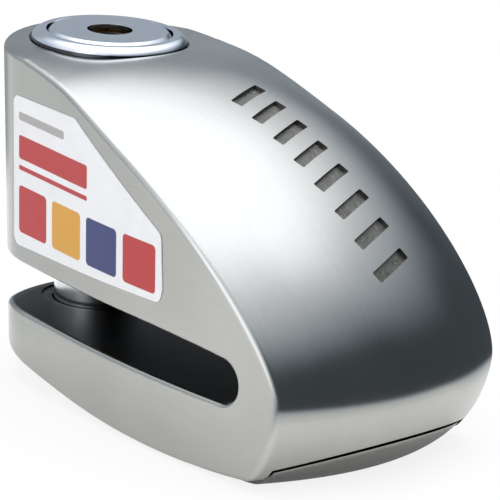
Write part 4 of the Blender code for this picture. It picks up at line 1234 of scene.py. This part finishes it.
class LOCK_OT_cover(bpy.types.Operator):
    """Make the base cover with its arched lip, countersinks and sound holes."""

    bl_idname = "lock.cover"
    bl_label = "Base cover"

    def execute(self, context):
        def skin(points):
            return round_meet(crown_distance(points) + COVER_SET_BACK, -points[:, 2], COVER_EDGE)

        def distance(points):
            sides = np.maximum(COVER_BACK_X - 0.0012 - points[:, 0], np.abs(points[:, 1]) - 0.0252)
            return np.maximum(np.maximum(skin(points), sides), points[:, 2] - 0.0075)

        piece = skin_piece("base_cover", distance, *COVER_GRID, COVER_PITCH)
        carve(piece, [cover_block(0)], "INTERSECT")
        sink = [
            (0, COVER_THICKNESS + CUT), (SCREW_RADIUS + GAP, COVER_THICKNESS + CUT),
            (SCREW_RADIUS + GAP, SCREW_HEAD_Z), (SCREW_HEAD + GAP, SCREW_SINK),
            (SCREW_HEAD + GAP, -CUT), (0, -CUT)]
        shape = turned("countersink", sink, False, SMALL_STEPS, (-PIN_X, 0))
        sinks = grown("countersinks", repeat_tree(), screw_places(), {"Shape": shape})
        port = rod("sound_hole", SOUND_HOLE, -CUT, COVER_THICKNESS + CUT, SMALL_STEPS, (-PIN_X, 0))
        middle = (SOUNDER[0] + SOUNDER[1]) / 2
        places = [(middle.x, middle.y, 0)]
        for i in range(SOUND_COUNT):
            angle = 2 * math.pi * i / SOUND_COUNT
            ring = SOUND_CIRCLE * math.cos(angle), SOUND_CIRCLE * math.sin(angle)
            places.append((middle.x + ring[0], middle.y + ring[1], 0))
        ports = grown("sound_holes", repeat_tree(), places, {"Shape": port})
        carve(piece, [sinks, ports])
        for used in (shape, port):
            bpy.data.objects.remove(used)
        spots = true_normals(piece, skin)[0]
        nose = crown_distance(spots)
        point_values(piece, "flank", np.zeros(len(spots)))
        point_values(piece, "edge", np.zeros(len(spots)))
        # Painted shade on the cover's faces that lie inside the body's skin, and a painted highlight that lightens
        # the cover's darker skin along the top of its lip
        inner = np.clip(-nose / 0.0004 - 1.0, 0, 1) * np.clip(spots[:, 2] / 0.0004, 0, 1)
        arch = LIP_TOP_Z - LIP_ARCH_RADIUS + np.sqrt(LIP_ARCH_RADIUS ** 2 - spots[:, 1] ** 2)
        rim = COVER_DARK - COVER_PAINTED_HIGHLIGHT * np.clip(1 - (arch - spots[:, 2]) / COVER_PAINTED_HIGHLIGHT_WIDTH, 0, 1)
        point_values(piece, "depth", rim + (DARK_TO - rim) * inner)
        piece.data.materials.append(coating("stainless"))
        finish(piece, "body", "stainless", "bottom_cover")
        return {"FINISHED"}


class LOCK_OT_collar(bpy.types.Operator):
    """Turn the polished collar round the cylinder."""

    bl_idname = "lock.collar"
    bl_label = "Collar"

    def execute(self, context):
        top = COLLAR_SEAT_Z + COLLAR_RISE
        first, last = (math.radians(angle) for angle in COLLAR_SLOPE)
        bow = (COLLAR_WIDTH - COLLAR_LIP) / (math.sin(last) - math.sin(first))
        shoulder = []
        for i in range(25):
            angle = first + (last - first) * i / 24
            reach = BORE_RADIUS + COLLAR_LIP + bow * (math.sin(angle) - math.sin(first))
            shoulder.append((reach, top - bow * (math.cos(first) - math.cos(angle))))
        profile = [(BORE_RADIUS, top)] + shoulder + [
            (COLLAR_RADIUS, COLLAR_SEAT_Z), (COLLAR_SLEEVE, COLLAR_SEAT_Z), (COLLAR_SLEEVE, COLLAR_FOOT_Z), (BORE_RADIUS, COLLAR_FOOT_Z),
            (BORE_RADIUS, COLLAR_FOOT_Z + 0.0006), (0.0116, COLLAR_FOOT_Z + 0.0006),
            (0.0116, COLLAR_FOOT_Z + 0.0022), (BORE_RADIUS, COLLAR_FOOT_Z + 0.0022)]
        piece = turned("collar_ring", profile, True)
        smooth(piece)
        # Height below the painted shade line at the collar's foot, stored as 'foot' for the chrome finish
        low = [COLLAR_SEAT_Z + COLLAR_PAINTED_SHADE - vertex.co.z for vertex in piece.data.vertices]
        point_values(piece, "foot", low)
        piece.data.materials.append(coating("chrome"))
        finish(piece, "body", "chrome", "barrel_collar")
        return {"FINISHED"}


class LOCK_OT_cylinder(bpy.types.Operator):
    """Turn the cylinder's face, its pin and its case."""

    bl_idname = "lock.cylinder"
    bl_label = "Cylinder"

    def execute(self, context):
        profile = [
            (KEY_HOLE_RADIUS, FACE_Z), (KEY_HOLE_RADIUS, FACE_TOP_Z),
            (CASE_RADIUS - FACE_BEVEL, FACE_TOP_Z), (CASE_RADIUS, FACE_TOP_Z - FACE_BEVEL), (CASE_RADIUS, FACE_Z)]
        face = turned("front_disc", rounded(profile, 0.00002), True)
        profile = [
            (0, SPIGOT_TOP_Z), (SPIGOT_RADIUS, SPIGOT_TOP_Z), (SPIGOT_RADIUS, PIN_SHOULDER_Z),
            (PIN_RADIUS, PIN_SHOULDER_Z), (PIN_RADIUS, PIN_TIP_Z + PIN_CHAMFER),
            (PIN_RADIUS - PIN_CHAMFER, PIN_TIP_Z), (MAGNET_HOLE, PIN_TIP_Z),
            (MAGNET_HOLE, MAGNET_HOLE_Z), (0, MAGNET_HOLE_Z)]
        pin = turned("round_pin", rounded(profile, 0.00015, closed=False), False)
        circle = [2 * math.pi * i / SMALL_STEPS for i in range(SMALL_STEPS)]
        outline = [(DOWEL_HOLE * math.cos(a), DOWEL_Z + DOWEL_HOLE * math.sin(a)) for a in circle]
        carve(pin, [lofted("dowel_hole", (outline, outline), (-0.01, 0.01), along="Y")])
        for piece, node, coat in ((face, "cylinder_face", "chrome"), (pin, "locking_pin", "pin")):
            smooth(piece)
            piece.data.materials.append(coating(coat))
            finish(piece, "cylinder", "chrome", node)
        for node, body, coat in (
                ("cylinder_case", "cylinder", "hardened"), ("pin_guide_bush", "body", "blackened"),
                ("pin_socket_bush", "body", "blackened")):
            mesh = NODES[node].data.copy()
            bm = bmesh.new()
            bm.from_mesh(mesh)
            bmesh.ops.remove_doubles(bm, verts=bm.verts, dist=0.000002)
            bm.to_mesh(mesh)
            bm.free()
            piece = linked(node + "_turned", mesh)
            round_walls(piece)
            mesh.materials.clear()
            mesh.materials.append(coating(coat))
            finish(piece, body, "hardened", node)
        return {"FINISHED"}


class LOCK_OT_screws(bpy.types.Operator):
    """Make the cover's countersunk socket screws."""

    bl_idname = "lock.screws"
    bl_label = "Cover screws"

    def execute(self, context):
        profile = [
            (0, SCREW_END_Z), (SCREW_RADIUS - 0.0003, SCREW_END_Z), (SCREW_RADIUS, SCREW_END_Z - 0.0003),
            (SCREW_RADIUS, SCREW_HEAD_Z), (SCREW_HEAD, SCREW_SINK + 0.0001), (SCREW_HEAD - 0.0001, SCREW_SINK),
            (0, SCREW_SINK)]
        shape = turned("screw", profile, False, SMALL_STEPS, (-PIN_X, 0))
        carve(shape, [rod("socket", SCREW_SOCKET, -CUT, SCREW_HEAD_Z, 6, (-PIN_X, 0))])
        piece = grown("cover_screws", repeat_tree(), screw_places(), {
            "Shape": shape, "Finish": coating("hardened")})
        bpy.data.objects.remove(shape)
        smooth(piece)
        finish(piece, "body", "hardened", "cover_screw_1", "cover_screw_2", "cover_screw_3")
        return {"FINISHED"}


class LOCK_OT_spring(bpy.types.Operator):
    """Wind the return spring."""

    bl_idname = "lock.spring"
    bl_label = "Return spring"

    def execute(self, context):
        piece = grown("wound_spring", spring_tree(), [(PIN_X, 0, SPRING_LOW_Z)], {
            "Turns": float(SPRING_TURNS), "Radius": SPRING_RADIUS, "Height": SPRING_RISE,
            "Wire": SPRING_WIRE, "Finish": coating("spring")})
        smooth(piece)
        finish(piece, "body", "spring", "return_spring")
        return {"FINISHED"}


class LOCK_OT_label(bpy.types.Operator):
    """Stick the plain printed label on the near flank."""

    bl_idname = "lock.label"
    bl_label = "Label"

    def execute(self, context):
        trim = context.scene.lock_trim
        outline = np.array(rounded(LABEL_CORNERS, trim.label_corner))
        left, right = outline[:, 0].argmin(), outline[:, 0].argmax()
        turn = np.roll(outline, -left, axis=0)
        reach = (right - left) % len(outline)
        upper, lower = turn[:reach + 1], np.vstack((turn[:1], turn[reach:][::-1]))
        ends = outline[left, 0] + TINY, outline[right, 0] - TINY
        columns = np.unique(np.concatenate((np.linspace(*ends, 90), np.clip(outline[:, 0], *ends))))
        high = np.interp(columns, upper[:, 0], upper[:, 1])
        low = np.interp(columns, *lower[lower[:, 0].argsort(kind="stable")].T)
        rows = np.linspace(0, 1, LABEL_ROWS)
        z = (low[:, None] + (high - low)[:, None] * rows).ravel()
        x = np.repeat(columns, LABEL_ROWS)
        near, far = np.zeros(len(x)), np.full(len(x), 0.035)
        for _ in range(40):
            middle = (near + far) / 2
            outside = flank_distance(np.stack((x, -middle, z), axis=1)) > 0
            near, far = np.where(outside, near, middle), np.where(outside, middle, far)
        seat = np.stack((x, -near, z), axis=1)
        out = slopes(flank_distance, seat)
        points = np.vstack((seat + out * LABEL_LIFT, seat + out * (LABEL_LIFT + trim.label_thickness)))
        count, total = len(columns), len(x)
        faces = []
        for i in range(count - 1):
            for k in range(LABEL_ROWS - 1):
                a, b = i * LABEL_ROWS + k, (i + 1) * LABEL_ROWS + k
                faces += [(a, a + 1, b + 1, b), (a + total, b + total, b + 1 + total, a + 1 + total)]
        rim = [i * LABEL_ROWS for i in range(count)]
        rim += [(count - 1) * LABEL_ROWS + k for k in range(1, LABEL_ROWS)]
        rim += [i * LABEL_ROWS + LABEL_ROWS - 1 for i in reversed(range(count - 1))]
        rim += list(reversed(range(1, LABEL_ROWS - 1)))
        faces += [(a, b, b + total, a + total) for a, b in zip(rim, rim[1:] + rim[:1])]
        piece = mesh_piece("side_label", points, faces)
        bm = bmesh.new()
        bm.from_mesh(piece.data)
        bmesh.ops.recalc_face_normals(bm, faces=bm.faces)
        bm.to_mesh(piece.data)
        bm.free()
        smooth(piece)
        piece.data.materials.append(coating("label"))
        finish(piece, "body", "plastic")
        return {"FINISHED"}


class LOCK_OT_inner(bpy.types.Operator):
    """Give the inner pieces that keep their CAD shape their finishes."""

    bl_idname = "lock.inner"
    bl_label = "Inner pieces"

    def execute(self, context):
        slots = {row["node"]: row["material_slot"] for row in frame["record"]["subparts"]}
        for name, node in NODES.items():
            node.data.materials.clear()
            node.data.materials.append(coating(slots[name]))
        return {"FINISHED"}


def seen_mask(tree):
    """Return 1 for what the camera, a reflection or glass looks at, and 0 for light that is scattered."""
    path = put(tree, "ShaderNodeLightPath")
    seen = math_of(tree, "MAXIMUM", path.outputs["Is Camera Ray"], path.outputs["Is Glossy Ray"])
    return math_of(tree, "MAXIMUM", seen, path.outputs["Is Transmission Ray"])


def plan_reach(angle):
    """Return how far the body reaches from the origin along an angle in plan."""
    run = np.linspace(0.005, 0.06, 551)
    spots = np.stack((np.cos(angle) * run - PIN_X, np.sin(angle) * run, 0 * run + PLAN_Z), axis=1)
    return run[(np.maximum(plan_distance(spots), crown_distance(spots)) < 0).sum() - 1]


def ease(value, start, end):
    """Return a smooth step from 0 to 1."""
    share = np.clip((value - start) / (end - start), 0, 1)
    return share * share * (3 - 2 * share)


class LOCK_OT_stage(bpy.types.Operator):
    """Set the floor, the soft light and the camera."""

    bl_idname = "lock.stage"
    bl_label = "Studio"

    def execute(self, context):
        scene = context.scene
        studio = scene.lock_studio
        scene.view_settings.view_transform = "Standard"
        self.make_floor(studio)
        self.make_flag(studio)
        world = bpy.data.worlds.new("studio")
        scene.world = world
        world.use_nodes = True
        tree = world.node_tree
        sky = tree.nodes["Background"]
        sky.inputs["Color"].default_value = (1, 1, 1, 1)
        level = math_of(tree, "MULTIPLY_ADD", seen_mask(tree), 1 - studio.ambient, studio.ambient)
        tree.links.new(level, sky.inputs["Strength"])
        self.make_lamp(scene, "softbox", studio.softbox, SOFTBOX_SIZE, SOFTBOX_PLACE)
        self.make_lamp(scene, "fill", studio.fill, FILL_SIZE, FILL_PLACE)
        self.make_camera(scene)
        return {"FINISHED"}

    def make_floor(self, studio):
        corners = [(-4, -4, FLOOR_Z), (4, -4, FLOOR_Z), (4, 4, FLOOR_Z), (-4, 4, FLOOR_Z)]
        floor = mesh_piece("floor", corners, [(0, 1, 2, 3)])
        material, tree, shader = new_finish("pale floor", 0.0, 0.9)
        shader.inputs["Base Color"].default_value = (*studio.floor, 1)
        glow = put(tree, "ShaderNodeEmission", None, {"Color": (1, 1, 1, 1), "Strength": 1.0})
        mirrored = put(tree, "ShaderNodeLightPath").outputs["Is Glossy Ray"]
        share = math_of(tree, "MULTIPLY", seen_mask(tree), FLOOR_GLOW)
        share = math_of(tree, "MULTIPLY_ADD", mirrored, FLOOR_GLOW_MIRRORED - FLOOR_GLOW, share)
        mixed = put(tree, "ShaderNodeMixShader", None, {0: share, 1: shader.outputs[0], 2: glow.outputs[0]})
        tree.links.new(mixed.outputs[0], tree.nodes["Material Output"].inputs["Surface"])
        floor.data.materials.append(material)

    def make_lamp(self, scene, name, power, size, place):
        lamp = bpy.data.lights.new(name, "AREA")
        lamp.energy = power
        lamp.size = size
        holder = bpy.data.objects.new(name, lamp)
        spot = Vector(place)
        holder.matrix_world = Matrix.Translation(spot) @ spot.to_track_quat("Z", "Y").to_matrix().to_4x4()
        holder.visible_glossy = False
        scene.collection.objects.link(holder)

    def make_flag(self, studio):
        around = np.radians(np.linspace(-180, 180, 181))
        upward = np.radians(np.linspace(0, 90, 46))
        turn, lift = np.meshgrid(around, upward, indexing="ij")
        sphere = (np.cos(turn) * np.cos(lift), np.sin(turn) * np.cos(lift), np.sin(lift))
        wall = np.stack(sphere, axis=2) * DOME_RADIUS
        reach = np.append(0, np.geomspace(0.004, 0.85, 24))
        near = np.array([plan_reach(angle) for angle in around]) + np.interp(np.degrees(around), *zip(*SKIRT_NEAR))
        run = np.minimum(near[:, None] + reach, DOME_RADIUS)
        ground = np.stack((np.cos(around)[:, None] * run, np.sin(around)[:, None] * run, 0 * run + 0.0002), axis=2)
        turn, lift = np.degrees(turn), np.degrees(lift)
        keys, *edges = zip(*FLAG_EDGES)
        foot, top, side = (np.interp(turn, keys, edge) for edge in edges)
        above = 1 - (1 - ease(lift, foot, top)) * side * (1 - studio.flag)
        keys, *edges = zip(*DOME_EDGES)
        lit = ease(lift, *(np.interp(turn, keys, edge) for edge in edges))
        strip = ease(turn, *SIDE_LIGHT[0]) * (1 - ease(turn, *SIDE_LIGHT[1])) * (1 - ease(lift, *SIDE_LIGHT_TOP))
        above = above * (1 + (studio.dome - 1) * np.maximum(lit, SIDE_LIGHT_SHARE * strip))
        skirt = side[:, :1] * ease(turn[:, :1], *SKIRT_ENDS[0]) * (1 - ease(turn[:, :1], *SKIRT_ENDS[1]))
        below = 1 - ease(reach / SKIRT_FADE, 0, 1)[None, :] * skirt * (1 - studio.flag)
        below = below * np.interp(turn[:, :1], *zip(*FLOOR_LEVELS))
        for name, points, tone, lit_tint in (
                ("dome", wall, above, DOME_TINT), ("floor_flag", ground, below, FLOOR_TINT)):
            columns, rows = tone.shape
            faces = []
            for i in range(columns - 1):
                for k in range(rows - 1):
                    a, b = i * rows + k, (i + 1) * rows + k
                    faces.append((a, b, b + 1, a + 1))
            points = points.reshape(-1, 3) - (PIN_X, 0, 0)
            flag = mesh_piece(name, points, faces)
            point_values(flag, "tone", tone.ravel())
            material, tree, shader = new_finish(name, 0.0, 1.0)
            shade = put(tree, "ShaderNodeAttribute", {"attribute_name": "tone"}).outputs["Fac"]
            tint = blend_of(tree, shade, DARK_TINT, lit_tint)
            glow = put(tree, "ShaderNodeEmission", None, {"Color": tint, "Strength": shade})
            tree.links.new(glow.outputs[0], tree.nodes["Material Output"].inputs["Surface"])
            flag.data.materials.append(material)
            flag.visible_camera = flag.visible_diffuse = False
            flag.visible_shadow = flag.visible_transmission = False

    def make_camera(self, scene):
        azimuth, elevation, roll = (math.radians(angle) for angle in CAMERA_ANGLES)
        away = Vector((
            math.sin(azimuth) * math.cos(elevation), -math.cos(azimuth) * math.cos(elevation), math.sin(elevation)))
        level = Vector((math.cos(azimuth), math.sin(azimuth), 0))
        upright = away.cross(level)
        right = level * math.cos(roll) + upright * math.sin(roll)
        up = upright * math.cos(roll) - level * math.sin(roll)
        lens = bpy.data.cameras.new("camera")
        lens.sensor_width = 36
        lens.lens = CAMERA_LENS
        lens.clip_start = 0.01
        camera = bpy.data.objects.new("camera", lens)
        turn = Matrix((right, up, away)).transposed().to_4x4()
        target = Vector((CAMERA_TARGET[0] + PIN_X, CAMERA_TARGET[1], CAMERA_TARGET[2]))
        camera.matrix_world = Matrix.Translation(target + away * CAMERA_DISTANCE) @ turn
        scene.collection.objects.link(camera)
        scene.camera = camera


class LOCK_PT_sidebar(bpy.types.Panel):
    """Pieces of the lock in the order they are made."""

    bl_idname = "LOCK_PT_sidebar"
    bl_label = "Disc brake lock"
    bl_space_type = "VIEW_3D"
    bl_region_type = "UI"
    bl_category = "Lock"

    def draw(self, context):
        for operator in OPERATORS:
            self.layout.operator(operator.bl_idname)
        for name, group in GROUPS.items():
            for key in group.__annotations__:
                self.layout.prop(getattr(context.scene, name), key)


GROUPS = {
    "lock_edges": LockEdges, "lock_trim": LockTrim, "lock_finishes": LockFinishes, "lock_studio": LockStudio}
OPERATORS = (
    LOCK_OT_inner, LOCK_OT_body, LOCK_OT_cover, LOCK_OT_collar, LOCK_OT_cylinder, LOCK_OT_screws,
    LOCK_OT_spring, LOCK_OT_label, LOCK_OT_stage)


def register():
    for cls in (*GROUPS.values(), *OPERATORS, LOCK_PT_sidebar):
        bpy.utils.register_class(cls)
    for name, group in GROUPS.items():
        setattr(bpy.types.Scene, name, bpy.props.PointerProperty(type=group))


def unregister():
    for name in GROUPS:
        delattr(bpy.types.Scene, name)
    for cls in reversed((*GROUPS.values(), *OPERATORS, LOCK_PT_sidebar)):
        bpy.utils.unregister_class(cls)


def main():
    register()
    bpy.ops.lock.inner()
    bpy.ops.lock.body()
    bpy.ops.lock.cover()
    bpy.ops.lock.collar()
    bpy.ops.lock.cylinder()
    bpy.ops.lock.screws()
    bpy.ops.lock.spring()
    bpy.ops.lock.label()
    bpy.ops.lock.stage()


if __name__ == "__main__":
    main()
